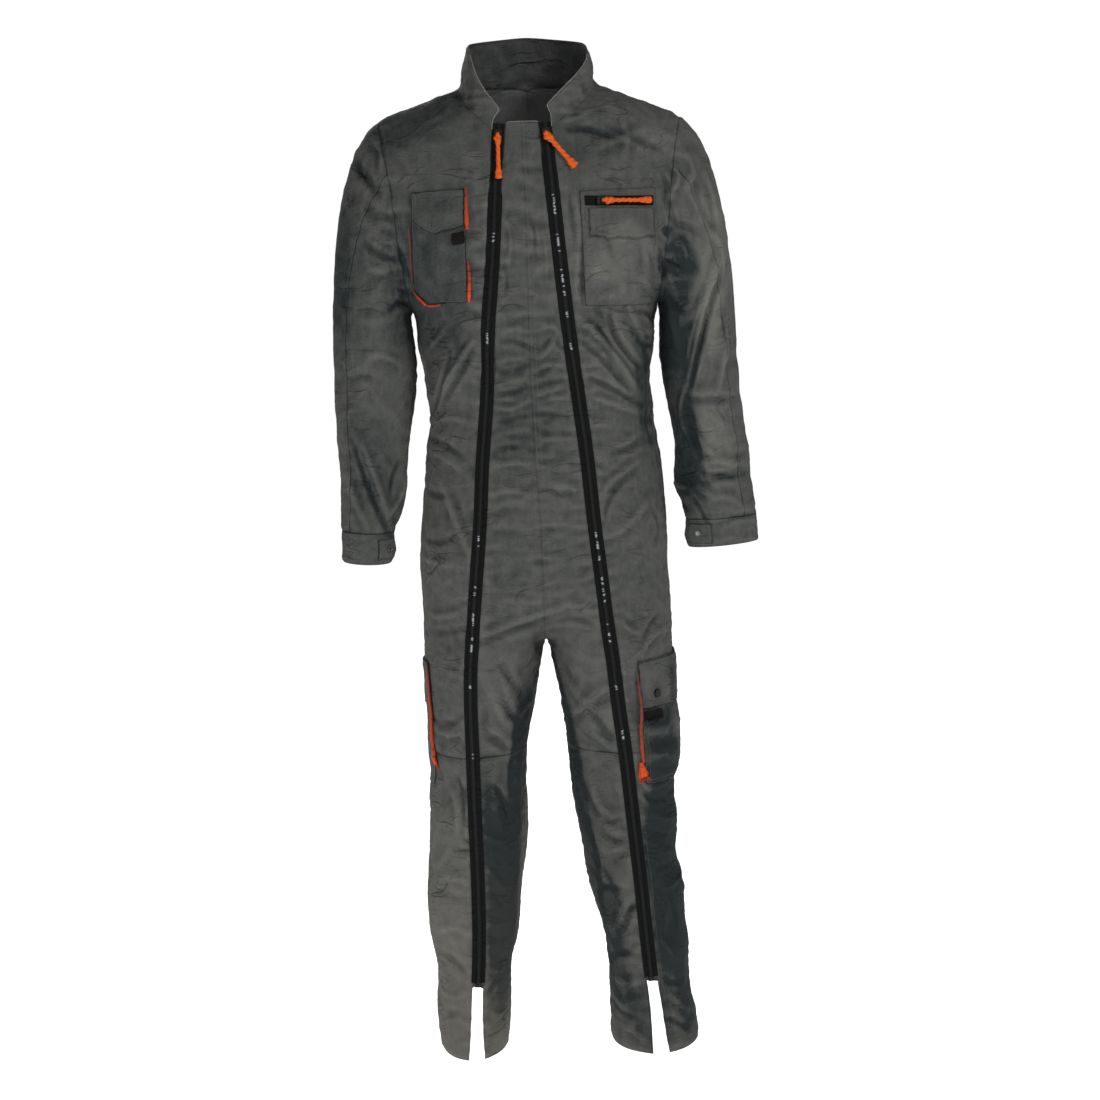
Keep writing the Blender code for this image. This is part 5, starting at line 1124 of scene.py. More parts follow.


# Painted shade: each row paints a band of cloth darker where shade falls on the suit; a row with a
# negative value paints it lighter, as a painted highlight.
# x, z of the start, middle and end, half width; all in millimetres; then how dark, in per cent.
PAINTED_SHADE_BANDS = (
    (202, -271, 205, -374, 214, -480, 33, 48), (214, -480, 215, -557, 234, -658, 22, 55),
    (-150, -150, -160, -300, -165, -430, 70, 34), (-98, -1010, -106, -1180, -112, -1440, 30, 50),
    (-263, -89, -189, -41, -98, -49, 51, 40), (-289, -146, -311, -264, -309, -399, 42, 30),
    (-31, -897, -57, -1054, -89, -1424, 15, 85), (15, -915, 32, -1026, 60, -1251, 12, 75),
    (63, -1203, 71, -1332, 91, -1489, 36, 40), (175, -1095, 182, -1223, 197, -1435, 45, 95),
    (159, -968, 171, -1015, 175, -1095, 30, 22), (196, -231, 219, -263, 233, -314, 24, 50),
    (154, -384, 157, -467, 164, -550, 12, 45), (-132, 52, -128, 8, -112, -33, 21, 35),
    (134, -62, 105, -75, 45, -87, 39, 30), (98, -235, 124, -257, 143, -287, 57, -35),
    (255, -159, 264, -270, 264, -375, 25, -30), (264, -481, 266, -541, 270, -603, 30, -20),
    (-173, -1078, -173, -1206, -172, -1400, 39, -12), (-90, -1090, -85, -1187, -98, -1440, 22, 75),
    (184, -1034, 174, -1146, 178, -1226, 36, 55), (137, -917, 158, -981, 175, -1076, 30, 30),
    (208, -1198, 215, -1329, 224, -1477, 39, 85), (123, -1383, 137, -1433, 143, -1499, 30, 45),
    (-270, -132, -291, -249, -300, -369, 54, 26), (-262, -460, -256, -560, -250, -660, 40, 33),
    (145, -958, 161, -962, 185, -956, 12, 60), (150, -1007, 167, -1003, 186, -1012, 10, 65),
    (140, -1052, 158, -1040, 182, -1057, 12, 50), (188, -860, 192, -920, 185, -960, 9, 40),
    (-173, -166, -135, -176, -106, -174, 13, 22),
    (189, -271, 195, -280, 204, -286, 10, 75), (201, -221, 196, -226, 202, -233, 6, 60),
    (207, -271, 225, -272, 240, -287, 7, 30), (212, -313, 204, -388, 207, -472, 21, 30),
    (193, -327, 198, -372, 212, -406, 12, 25), (218, -479, 230, -525, 244, -580, 13, 35),
    (230, -580, 240, -601, 258, -620, 10, 32), (219, -585, 224, -610, 230, -632, 9, 28),
    (282, -168, 286, -242, 287, -316, 15, -25), (258, -270, 265, -345, 269, -435, 13, -35),
    (243, -480, 260, -526, 277, -565, 18, -25), (192, -164, 203, -194, 209, -215, 6, 35),
    (228, -157, 251, -190, 262, -220, 10, -30), (153, -369, 167, -402, 169, -431, 9, 45),
    (127, -362, 153, -398, 169, -437, 7, 40), (113, -349, 138, -389, 163, -428, 10, -25),
    (-24, -362, -28, -466, -30, -570, 51, 20), (90, -322, 97, -367, 111, -411, 7, 30),
    (74, -228, 71, -277, 72, -321, 4, 35), (66, -233, 63, -292, 64, -351, 4, -25),
    (68, -60, 105, -50, 141, -63, 15, -22), (174, -78, 203, -94, 223, -123, 15, -25),
    (-127, -1012, -114, -1075, -121, -1170, 21, 20), (-141, -825, -120, -856, -107, -919, 21, 12),
    (13, -955, 29, -1018, 47, -1082, 15, 20), (71, -1210, 81, -1274, 88, -1371, 15, 25),
    (280, -282, 250, -387, 224, -473, 4.5, 60), (223, -483, 233, -527, 242, -576, 4.5, 60),
    (243, -602, 270, -601, 307, -595, 4, 45), (289, -294, 259, -390, 236, -467, 7, -22),
    (268, -239, 234, -323, 209, -370, 6, -25), (246, -490, 254, -535, 265, -575, 10, -14),
    (-107, -1156, -86, -1161, -66, -1138, 11, 60), (-52, -980, -63, -1015, -72, -1051, 4, 40),
    (-92, -1058, -84, -1074, -75, -1095, 4, 35), (-147, -1048, -143, -1080, -140, -1115, 4, 30),
    (-68, -946, -53, -961, -53, -991, 5, 55), (-73, -861, -63, -900, -51, -940, 4, 30),
    (-1, -846, 15, -910, 27, -976, 4.5, 60), (27, -974, 30, -1044, 37, -1113, 4, 55),
    (37, -1110, 60, -1170, 65, -1251, 4.5, 60), (65, -1251, 74, -1334, 81, -1403, 4.5, 60),
    (69, -976, 81, -989, 94, -1004, 4, 30), (59, -1123, 87, -1125, 108, -1110, 4, 35),
    (69, -1198, 90, -1239, 102, -1272, 4.5, 40), (125, -1255, 114, -1264, 102, -1272, 4, 35),
    (81, -1319, 96, -1340, 113, -1327, 6, 45), (77, -1389, 93, -1418, 111, -1400, 7, 40),
)


def painted_shade_of(mesh):
    """How dark the painted shade is, from below 0 where light is painted to 1."""
    points, normals = points_of(mesh), normals_of(mesh)
    front = np.clip((0.6 - normals[:, 1]) / 1.0, 0, 1)
    wide = [(*row[:6], row[6] * 1.15, row[7] * 10) for row in PAINTED_SHADE_BANDS]
    dark = fold_heights(points, front, wide, 1.0, "band")
    # Faces turned away from the front get more painted shade, most of all high on the collar.
    collar = np.clip(points[:, 2] / 0.03 + 1.3, 0, 1)
    return np.clip(0.16 + dark + (0.12 + 0.16 * collar) * (1 - front), -0.4, 1.25)


def seam_depth(points):
    """How dark a seam is painted, a dark joint with painted shade beside it: strong on the sleeves
    and armholes, faint down the centre.
    """
    strong = (abs(points[:, 0]) > 0.115) & (points[:, 2] > -0.70) | (points[:, 2] < -0.95)
    return np.where(strong, 1.0, 0.62)


skin_points = points_of(skin.data)
# Colour marks on the skin: proud crests are painted paler and folds darker, partly wear and partly
# painted highlight and shade; seams are painted darker, a dark joint with painted shade beside it;
# the shade bands are painted shade and light; and the dust, partly painted light, is held back where
# painted shade lies.
worn = proudness(skin.data, 3)
shade = painted_shade_of(skin.data)
store(skin.data, worn=worn, seam=seam_depth(skin_points) * np.exp(-(gap / 0.0015) ** 2),
      shade=shade, dust=shin_dust_and_light(skin_points) * (1 - 0.7 * np.clip(shade, 0, 1)))
skin_tree = BVHTree.FromPolygons([tuple(p) for p in skin_points],
                                 [tuple(face.vertices) for face in skin.data.polygons])
print("wear from %.2f to %.2f" % (worn.min(), worn.max()))

# %% [markdown]
# ## Sewing lines
# Stitches lie beside almost every seam. Each line of them follows a path over the cloth: a seam,
# an edge or the outline of a pocket. The paths are taken from the joined skin, so that a line
# keeps its distance from its seam wherever the seam goes. The stitches themselves are short
# thread dashes, sunk half way into the cloth.

# %% Find the seam paths
def chains(links):
    """Sort loose edges, given as pairs of point numbers, into ordered paths."""
    near = {}
    for a, b in links:
        near.setdefault(a, []).append(b)
        near.setdefault(b, []).append(a)
    open_ends = [k for k, others in near.items() if len(others) != 2]
    used = set()
    paths = []
    for start in open_ends + list(near):
        for step in near[start]:
            if (start, step) in used:
                continue
            path, here = [start], step
            used.update({(start, step), (step, start)})
            while True:
                path.append(here)
                onward = [n for n in near[here] if (here, n) not in used]
                if len(near[here]) != 2 or not onward:
                    break
                used.update({(here, onward[0]), (onward[0], here)})
                here = onward[0]
            paths.append(path)
    return paths


def seam_paths(mesh):
    """Paths between each pair of panels, and the open edges of each panel."""
    bm = bmesh_of(mesh)
    layer = bm.faces.layers.int["panel"]
    links = {}
    for edge in bm.edges:
        sides = tuple(sorted({panel_names[f[layer]] for f in edge.link_faces}))
        if len(sides) == 2 or len(edge.link_faces) == 1:
            links.setdefault(sides, []).append([v.index for v in edge.verts])
    bm.free()
    return {sides: chains(pairs) for sides, pairs in links.items()}


paths = seam_paths(skin.data)
for sides in sorted(paths):
    print(sides, [len(path) for path in paths[sides] if len(path) > 6])


# %% Walk along a line on the cloth
def spaced(line, step):
    """Points at equal steps along a path of points."""
    line = np.asarray(line, float)
    gaps = np.linalg.norm(np.diff(line, axis=0), axis=1)
    line = line[np.concatenate([[True], gaps > 1e-7])]
    far = np.concatenate([[0], np.cumsum(np.linalg.norm(np.diff(line, axis=0), axis=1))])
    count = max(2, int(round(far[-1] / step)) + 1)
    where = np.linspace(0, far[-1], count)
    return np.stack([np.interp(where, far, line[:, k]) for k in range(3)], axis=1)


def eased(line, rounds):
    """The same path with its small zigzags smoothed away; its ends stay."""
    line = np.array(line, float)
    for _ in range(rounds):
        line[1:-1] = (line[:-2] + 2 * line[1:-1] + line[2:]) / 4
    return line


def on_skin(point, tree=None):
    """Nearest place on the cloth and its normal."""
    return (tree or skin_tree).find_nearest(Vector(point))[:2]


def beside(line, inside, gap, tree=None):
    """A path moved sideways over the cloth by a gap, to the side where a panel lies."""
    moved = []
    for k, point in enumerate(line):
        ahead = Vector(line[min(k + 1, len(line) - 1)]) - Vector(line[max(k - 1, 0)])
        place, normal = on_skin(point, tree)
        side = ahead.cross(normal).normalized()
        moved.append(on_skin(place + side * gap * inside, tree)[0])
    return np.array(moved)


# %% Stitches
stitch_length, stitch_gap = 0.0021, 0.0009
thread_half, pale_half = 0.00028, 0.00040
stitch_lines = {"thread": [], "pale": []}


def sew(line, colour="thread", tree=None, lift=0.0):
    """Ask for a row of stitches along a path."""
    if len(line) > 2:
        even = eased(spaced(line, stitch_length + stitch_gap), 2)
        stitch_lines[colour].append((even, tree, lift))


def stitch_row(line, tree, lift, half, length):
    """One row of stitches: short round bars laid end to end over the cloth."""
    out = bmesh.new()
    for k in range(len(line) - 1):
        ahead = Vector(line[k + 1] - line[k])
        if ahead.length < 1e-5:
            continue
        place, normal = on_skin((line[k] + line[k + 1]) / 2, tree)
        turn = ahead.to_track_quat("Z", "Y").to_matrix().to_4x4()
        spot = Matrix.Translation(place + normal * (lift + half * 0.3)) @ turn
        bmesh.ops.create_cone(out, cap_ends=True, segments=5, radius1=half, radius2=half,
                              depth=length, matrix=spot)
    return out


def gathered(rows):
    """One bmesh out of many small ones."""
    out = bmesh.new()
    for row in rows:
        mesh = bpy.data.meshes.new("row")
        write_back(row, mesh)
        out.from_mesh(mesh)
        bpy.data.meshes.remove(mesh)
    return out

# %% [markdown]
# ## Panels with a thickness
# The folded skin is parted along its seams again, and each panel gets its own wall: 1.4 mm for
# washed twill and nearly twice that for the collar, which is two layers with a stiffener.
# Solidify grows the wall inwards, so the outside keeps its form.

# %% Part the skin into panels
def shown(piece, node, body="suit"):
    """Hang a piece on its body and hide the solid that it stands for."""
    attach(piece, body)
    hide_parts(node)


def dressed(piece, node, area=None):
    """Hang a cloth piece on the suit and hide its solid, as shown does. Its area is not used."""
    shown(piece, node)


def give_wall(piece, thickness, offset):
    """Grow a sheet into a wall, whose cut edge stays crisp."""
    bm = bmesh_of(piece.data)
    for edge in bm.edges:
        edge.smooth = not edge.is_boundary
    write_back(bm, piece.data)
    wall = piece.modifiers.new("Wall", "SOLIDIFY")
    wall.thickness = thickness
    wall.offset = offset
    return wall


collar_wall, twill_wall = 0.0026, 0.0014
inwards, outside = -1, 1
panel_of = [0] * len(skin.data.polygons)
skin.data.attributes["panel"].data.foreach_get("value", panel_of)
for number, name in enumerate(panel_names):
    bm = bmesh_of(skin.data)
    layer = bm.faces.layers.int["panel"]
    bmesh.ops.delete(bm, geom=[f for f in bm.faces if f[layer] != number], context="FACES")
    piece = add_piece("cloth_" + name, bm, twill)
    wall = give_wall(piece, collar_wall if name == "collar" else twill_wall, inwards)
    if name != "collar":
        piece.data.materials.append(reverse)
        wall.material_offset = 1
    width, length, area = cuts[name]
    dressed(piece, name, float(area))
print("panels:", len(panel_names))

# %% [markdown]
# ## Pockets, flaps and tags
# A patch pocket is a second layer that lies on the first. Its outline comes from its own solid,
# and its form from the cloth under it: each point is dropped on what lies below, smoothed because
# two layers are stiffer than one, and lifted again wherever it would touch. A flap is laid on its
# pocket in the same way.

# %% Lay a patch on the cloth
class Layer:
    """Cloth that can carry a patch: its surface, how thick it is, its outline and its middle."""
    def __init__(self, tree, wall, outline=(), middle=None):
        self.tree = tree
        self.wall = wall
        self.outline = outline
        self.middle = middle


cloth_ground = Layer(skin_tree, 0.0)


def raise_above(point, grounds, lift):
    """Push a point out until it clears every layer below by a lift."""
    for ground in grounds:
        place, normal = ground.tree.find_nearest(point)[:2]
        height = (point - place).dot(normal)
        needed = ground.wall + lift
        if height < needed and (point - place).length < 0.02:
            point = point + normal * (needed - height)
    return point


def edge_gaps(bm):
    """Distance of every point of a patch from its outline."""
    rim = tree_of(edge_points(bm))
    return [rim.find(v.co)[2] for v in bm.verts]


def outline_of(bm):
    """The outline of a patch as a path."""
    bm.verts.index_update()
    rims = chains([[v.index for v in e.verts] for e in bm.edges if e.is_boundary])
    bm.verts.ensure_lookup_table()
    return np.array([tuple(bm.verts[k].co) for k in max(rims, key=len)])


def facing_of(bm):
    """The way that a sheet faces on the whole."""
    return sum((f.normal * f.calc_area() for f in bm.faces), Vector()).normalized()


def lie(bm, grounds, lift):
    """Drop a patch on what lies below it and let it settle there."""
    drop_from, drop_reach = 0.03, 0.07
    facing = facing_of(bm)
    straight = all(f.normal.dot(facing) > 0.8 for f in bm.faces)
    for vertex in bm.verts:
        above = vertex.co + facing * drop_from
        hit = skin_tree.ray_cast(above, -facing, drop_reach)[0] if straight else None
        vertex.co = hit if hit else skin_tree.find_nearest(vertex.co)[0]
    inner = [v for v in bm.verts if not v.is_boundary]
    for _ in range(2):
        for vertex in bm.verts:
            vertex.co = raise_above(vertex.co, grounds, lift)
        for _ in range(2):
            bmesh.ops.smooth_vert(bm, verts=inner, factor=0.5, use_axis_x=True, use_axis_y=True,
                                  use_axis_z=True)
    for vertex in bm.verts:
        vertex.co = raise_above(vertex.co, grounds, lift)


def flat_map(bm):
    """UV map of a patch in metres, upright. Returns its width, length and area."""
    bm.normal_update()
    facing = facing_of(bm)
    across = Vector((0, 0, 1)).cross(facing).normalized()
    up = facing.cross(across)
    layer = bm.loops.layers.uv.get("cloth") or bm.loops.layers.uv.new("cloth")
    spots = []
    for face in bm.faces:
        for loop in face.loops:
            loop[layer].uv = (loop.vert.co.dot(across), loop.vert.co.dot(up))
            spots.append(tuple(loop[layer].uv))
    spots = np.array(spots)
    width, length = spots.max(axis=0) - spots.min(axis=0)
    area = sum(f.calc_area() for f in bm.faces)
    return float(width), float(max(length, area / width)), float(area)


# %% Make a patch
patches = {}


def patch(name, wall, material, grounds=(cloth_ground,), puff=0.0, flare=0.0, cuts=4):
    """One laid piece of cloth. puff lifts its middle and flare lifts its lower edge."""
    clearance, soft_edge, least_creased = 0.0003, 0.016, 0.002
    bm = outer_side(name)
    bmesh.ops.subdivide_edges(bm, edges=bm.edges[:], cuts=cuts, use_grid_fill=True)
    lie(bm, grounds, clearance)
    bm.normal_update()
    gaps = edge_gaps(bm)
    top, low = max(v.co.z for v in bm.verts), min(v.co.z for v in bm.verts)
    normals = [v.normal.copy() for v in bm.verts]
    still = quietness([v.co for v in bm.verts])
    spots = np.array([tuple(v.co) for v in bm.verts])
    creases = np.zeros(len(spots))
    if puff > least_creased:
        creases = fold_heights(spots, np.ones(len(spots)), POCKET_FOLDS, 1.0)
    proud = []
    for number, vertex in enumerate(bm.verts):
        inward = min(1.0, gaps[number] / soft_edge)
        down = (top - vertex.co.z) / (top - low)
        ripple = noise.noise(vertex.co * 34) * 0.7 + abs(noise.noise(vertex.co * 75)) * 0.6 - 0.1
        rise = puff * blend(inward) * (0.65 + ripple) + flare * down ** 2
        rise += creases[number] * inward
        on_edge = gaps[number] < 0.0005
        # The colour is painted paler on crests and on the edge and darker in the pocket's folds:
        # partly wear, partly painted highlight and shade.
        proud.append(0.5 + 0.5 * ripple * inward + 90 * creases[number] + 0.25 * on_edge)
        vertex.co += normals[number] * max(rise, 0) * (1 - still[number])
    width, length, area = flat_map(bm)
    patches[name] = Layer(BVHTree.FromBMesh(bm), wall, outline_of(bm),
                          np.mean([tuple(v.co) for v in bm.verts], axis=0))
    piece = add_piece("cloth_" + name, bm, material)
    # The outline is painted darker, a stitched edge with painted shade where it meets the cloth
    # below.
    store(piece.data, worn=proud, seam=[math.exp(-(g / 0.002) ** 2) for g in gaps],
          shade=painted_shade_of(piece.data), dust=shin_dust_and_light(points_of(piece.data)))
    give_wall(piece, wall, outside)
    below = [n for n, layer in patches.items() if layer in grounds]
    dressed(piece, name, min(area, width * length))
    print(name, "flat %.3f x %.3f m" % (width, length))
    return piece


for side in ("right", "left"):
    patch("chest_pocket_" + side, 0.0016, twill, puff=0.0055 if side == "left" else 0.0038)
    patch("thigh_pocket_" + side, 0.0014, twill, puff=0.0040 if side == "left" else 0.0)
    patch("cuff_tab_" + side, 0.0020, twill, puff=0.0004, cuts=3)
for side in ("right", "left"):
    pocket = (cloth_ground, patches["chest_pocket_" + side])
    patch("chest_flap_" + side, 0.0018, twill, pocket, puff=0.0010, flare=0.0034)
    pocket = (cloth_ground, patches["thigh_pocket_" + side])
    patch("thigh_flap_" + side, 0.0014, twill, pocket, puff=0.0006,
          flare=0.0034 if side == "left" else 0.0)
chest_ground = (cloth_ground, patches["chest_pocket_right"], patches["chest_flap_right"])
patch("chest_tag_right", 0.0008, tag_cloth, chest_ground, flare=0.0006)
thigh_ground = (cloth_ground, patches["thigh_pocket_left"], patches["thigh_flap_left"])
patch("thigh_tag_left", 0.0008, tag_cloth, thigh_ground, flare=0.0008)
patch("chest_zip", 0.0010, tape_cloth, (cloth_ground, patches["chest_pocket_left"]))

# %% [markdown]
# ## Zips
# A zip is two tapes, each with a row of moulded teeth, locked into each other by the slider. The
# tape is one strip swept along the middle of the zip's solid. The teeth are separate blocks with
# rounded edges, set alternately from the left and from the right.

# %% Sweep a strip or a tube
def frames_along(line, ups):
    """At each point of a path: the point, the way ahead, the way across and the way up."""
    placed = []
    for k, point in enumerate(line):
        ahead = Vector(line[min(k + 1, len(line) - 1)] - line[max(k - 1, 0)]).normalized()
        across = ahead.cross(Vector(ups[k])).normalized()
        placed.append((Vector(point), ahead, across, across.cross(ahead)))
    return placed


def swept(frames, section, count, closed):
    """Grid bent along a path. section gives the offsets across and up of a ring's corner."""
    bm = bmesh.new()
    rows = len(frames)
    columns = count if closed else count - 1
    bmesh.ops.create_grid(bm, x_segments=columns, y_segments=rows - 1, size=1.0)
    layer = bm.loops.layers.uv.new("cloth")
    tag = bm.verts.layers.float.new("worn")
    spots = {}
    for vertex in bm.verts:
        i = round((vertex.co.x + 1) / 2 * columns)
        j = round((vertex.co.y + 1) / 2 * (rows - 1))
        point, ahead, across, up = frames[j]
        x, h, worn = section(i % count if closed else i, j)
        spots[vertex] = (i, j)
        vertex[tag] = worn
        vertex.co = point + across * x + up * h
    for face in bm.faces:
        for loop in face.loops:
            i, j = spots[loop.vert]
            loop[layer].uv = (i * 0.002, j * 0.003)
    if closed:
        bmesh.ops.remove_doubles(bm, verts=bm.verts, dist=1e-6)
        bmesh.ops.holes_fill(bm, edges=[e for e in bm.edges if e.is_boundary], sides=0)
    bmesh.ops.recalc_face_normals(bm, faces=bm.faces)
    return bm


# %% Middle line of a zip's solid
zip_section = ((-0.0108, -0.0004), (-0.0098, 0.0003), (-0.0060, 0.0004), (-0.0026, 0.0002),
               (0.0026, 0.0002), (0.0060, 0.0004), (0.0098, 0.0003), (0.0108, -0.0004))
zip_top = 0.0014
zip_step = 0.003


def resampled(rows, count):
    """Rows of an array, read at a number of even steps from its first row to its last."""
    share = np.linspace(0, len(rows) - 1, count)
    return np.stack([np.interp(share, range(len(rows)), rows[:, k]) for k in range(3)], axis=1)


def zip_line(name):
    """Middle of a zip and the way it faces, at even steps."""
    bm = bmesh_of(nodes[name].data)
    bmesh.ops.remove_doubles(bm, verts=bm.verts, dist=same_place)
    corners = sorted((v.co.copy() for v in bm.verts), key=lambda p: -p.z)
    bm.free()
    middles, ups = [], []
    for k in range(0, len(corners) - 5, 6):
        ring = sorted(corners[k:k + 6], key=lambda p: p.x)
        middle, flank = (ring[2] + ring[3]) / 2, (ring[1] + ring[4]) / 2
        up = (middle - flank).normalized()
        middles.append(middle - up * zip_top)
        ups.append(up)
    line = spaced(eased(middles, 1), zip_step)
    return line, resampled(np.array([tuple(u) for u in ups]), len(line))


# %% Tapes and teeth
def tooth_shape():
    """One moulded tooth: a short block with rounded edges and a broader head."""
    tooth_size, head_growth, rounding = (0.0042, 0.0019, 0.0020), (1, 1.25, 1), 0.00045
    bm = bmesh.new()
    bmesh.ops.create_cube(bm, size=1.0)
    bmesh.ops.scale(bm, vec=tooth_size, verts=bm.verts)
    bmesh.ops.scale(bm, vec=head_growth, verts=[v for v in bm.verts if v.co.x > 0])
    bmesh.ops.bevel(bm, geom=bm.edges[:], offset=rounding, segments=1, profile=0.5, material=-1,
                    affect="EDGES")
    mesh = bpy.data.meshes.new("tooth")
    write_back(bm, mesh)
    return mesh


def place_copies(pattern, places, values):
    """One mesh with a copy of a pattern at each of some places, and a value of its own on each."""
    out = bmesh.new()
    layer = out.verts.layers.float.new("painted_glint")
    for place, value in zip(places, values):
        start = len(out.verts)
        out.from_mesh(pattern)
        out.verts.ensure_lookup_table()
        for vertex in out.verts[start:]:
            vertex[layer] = value * (vertex.co.x > 0.001)
        bmesh.ops.transform(out, matrix=place, verts=out.verts[start:])
    return out


def placed_at(point, ahead, across, up):
    """Matrix whose x runs across, whose y runs ahead and whose z runs up."""
    matrix = Matrix((across, ahead, up)).transposed().to_4x4()
    matrix.translation = point
    return matrix


# Middle and half length, in millimetres of height, of each run of teeth that carries a painted glint.
PAINTED_GLINT_RUNS = {
    "right": ((-220, 11), (-372, 9), (-675, 9), (-750, 9), (-795, 11), (-827, 16), (-897, 3),
              (-1007, 5)),
    "left": ((-180, 14), (-236, 12), (-293, 19), (-338, 6), (-388, 5), (-676, 16), (-709, 6),
             (-753, 20), (-819, 16), (-906, 5), (-977, 11)),
}


def painted_glint_of(side, height, number):
    """How strong a tooth's painted glint is: some of those in a glint run have one, and none outside
    it.
    """
    inside = any(abs(height * 1000 - middle) < half for middle, half in PAINTED_GLINT_RUNS[side])
    return 1.0 if inside and noise.noise(Vector((number * 2.7, 4.1, 0.5))) > 0.0 else 0.0


tooth_pitch, tooth_offset, tooth_rise = 0.0016, 0.0011, 0.0009
tape_width, tape_wall = 0.021, 0.0008
batch = 60
tooth = tooth_shape()
for side in ("right", "left"):
    line, ups = zip_line("zip_" + side)
    frames = frames_along(line, ups)
    tape = swept(frames, lambda i, j: (*zip_section[i], 0.5), len(zip_section), False)
    piece = add_piece("tape_" + side, tape, tape_cloth)
    give_wall(piece, tape_wall, inwards)
    length = float(len(line) * zip_step)
    dressed(piece, "zip_" + side)
    fine = spaced(line, tooth_pitch)
    places = []
    for k, (point, ahead, across, up) in enumerate(frames_along(fine, resampled(ups, len(fine)))):
        turn = -1 if k % 2 else 1
        spot = point + across * tooth_offset * turn + up * tooth_rise
        places.append(placed_at(spot, ahead * turn, across * -turn, up))
    # Each tooth's share of the painted glint.
    values = [painted_glint_of(side, place.translation.z, k) for k, place in enumerate(places)]
    rows = [place_copies(tooth, places[k:k + batch], values[k:k + batch])
            for k in range(0, len(places), batch)]
    row = add_piece("teeth_" + side, gathered(rows), tooth_plastic)
    shown(row, "zip_" + side)
    print("zip", side, "%.3f m" % length, len(places), "teeth")

# %% [markdown]
# ## Pulls
# Each slider carries a pull of plastic-coated cord: two strands twisted round each other, with a
# knob at each end. The twist is a ripple that runs round the tube as it goes along. The pull is
# swept along its own solid, from the eye to the tip, and swings with it.

# %% Twisted pulls
pull_knobs = ((0.0, 0.30), (0.03, 0.70), (0.09, 1.0), (0.16, 0.96), (0.27, 0.60), (0.74, 0.58),
              (0.86, 0.92), (0.93, 1.0), (0.98, 0.80), (1.0, 0.35))
twist_pitch = 0.0085


def pull_mesh(name, slider):
    """Twisted cord with a knob at each end, along the pull's solid."""
    corners = 20
    points, middle, (along, wide, thin) = axes_of(name)
    eye = corners_of(slider).mean(axis=0)
    far = (points - middle) @ along
    first, last = (np.linalg.norm(middle + along * end - eye) for end in (far.min(), far.max()))
    if last < first:
        along, far = -along, -far
    thin = thin if thin[1] < 0 else -thin
    length = far.max() - far.min()
    start = middle + along * far.min()
    rings = int(length / 0.0009)
    line = np.array([start + along * length * (k / rings) for k in range(rings + 1)])
    frames = frames_along(line, [thin] * len(line))
    half_wide, half_thin = (np.ptp((points - middle) @ way) / 2 for way in (wide, thin))
    shares, sizes = zip(*pull_knobs)

    def section(i, j):
        t = j / rings
        angle = 2 * math.pi * i / corners
        lobe = math.cos(2 * angle - 2 * math.pi * t * length / twist_pitch)
        size = float(np.interp(t, shares, sizes)) * (1 + 0.06 * lobe)
        size *= 1 + 0.30 * noise.noise(Vector((math.cos(angle), math.sin(angle), t * 13)))
        thick = min(size * 1.25, 1.15)
        # The third value paints the cord lighter on the crest of each turn and on its front, as
        # painted highlight, and darker between the turns and on its back, as painted shade.
        return (half_wide * size * math.cos(angle), half_thin * thick * math.sin(angle),
                0.40 + 0.14 * lobe + 0.45 * math.sin(angle))
    return swept(frames, section, corners, True)


for side in ("right", "left", "chest"):
    name = "pull_" + side
    piece = add_piece("cord_" + name, pull_mesh(name, "slider_" + side), pull_orange)
    shown(piece, name, body=name)
    print(name, len(piece.data.polygons), "faces")

# %% [markdown]
# ## Piping
# Orange piping is a cord in a folded strip, caught in the pocket's seam. It is a tube that lies in
# the edge of the pocket. Some of it is rubbed dull, and at the thigh its strip frays out below
# the seam, so the tube flattens there and opens into strands.

# %% Lay the piping
def ground_point(point, grounds, lift):
    """Place on top of all layers near a point, and the way it faces."""
    place, normal = skin_tree.find_nearest(Vector(point))[:2]
    return raise_above(place, grounds, lift), normal


def middle_line(name, step):
    """Middle of a long thin solid, from its top or left end to the other."""
    points, middle, (along, _, _) = axes_of(name)
    along = -along if along[2] > 0.3 or (abs(along[2]) <= 0.3 and along[0] < 0) else along
    far = (points - middle) @ along
    count = max(2, int((far.max() - far.min()) / 0.012))
    bins = np.clip(((far - far.min()) / (far.max() - far.min()) * count).astype(int), 0, count - 1)
    line = [points[bins == k].mean(axis=0) for k in range(count) if (bins == k).any()]
    first, last = (near + along * ((middle + along * end - near) @ along)
                   for near, end in ((line[0], far.min()), (line[-1], far.max())))
    return spaced(eased([first, *line, last], 2), step)


def strand(place, number, count, spread):
    """One loose thread that bends away from the frayed end of a strip."""
    radius, corners, steps = 0.00045, 5, 6
    point, ahead, across, up = place
    share = 2 * (number + 0.5) / count - 1
    lean, rise, reach = (noise.noise(Vector((number * 3.7, k, 5.3))) for k in (1.1, 4.6, 9.2))
    line = [point + across * (share * spread * (1 + 0.5 * t * t) + lean * 0.005 * t * t)
            + ahead * (0.012 + 0.010 * reach) * (t - 0.35) + up * (0.001 + 0.002 * rise * t)
            for t in (k / steps for k in range(steps + 1))]
    frames = frames_along(np.array([tuple(p) for p in line]), [up] * len(line))

    def section(i, j):
        angle = 2 * math.pi * i / corners
        return radius * math.cos(angle), radius * math.sin(angle), 0.2 + 0.6 * (number % 2)
    return swept(frames, section, corners, True)


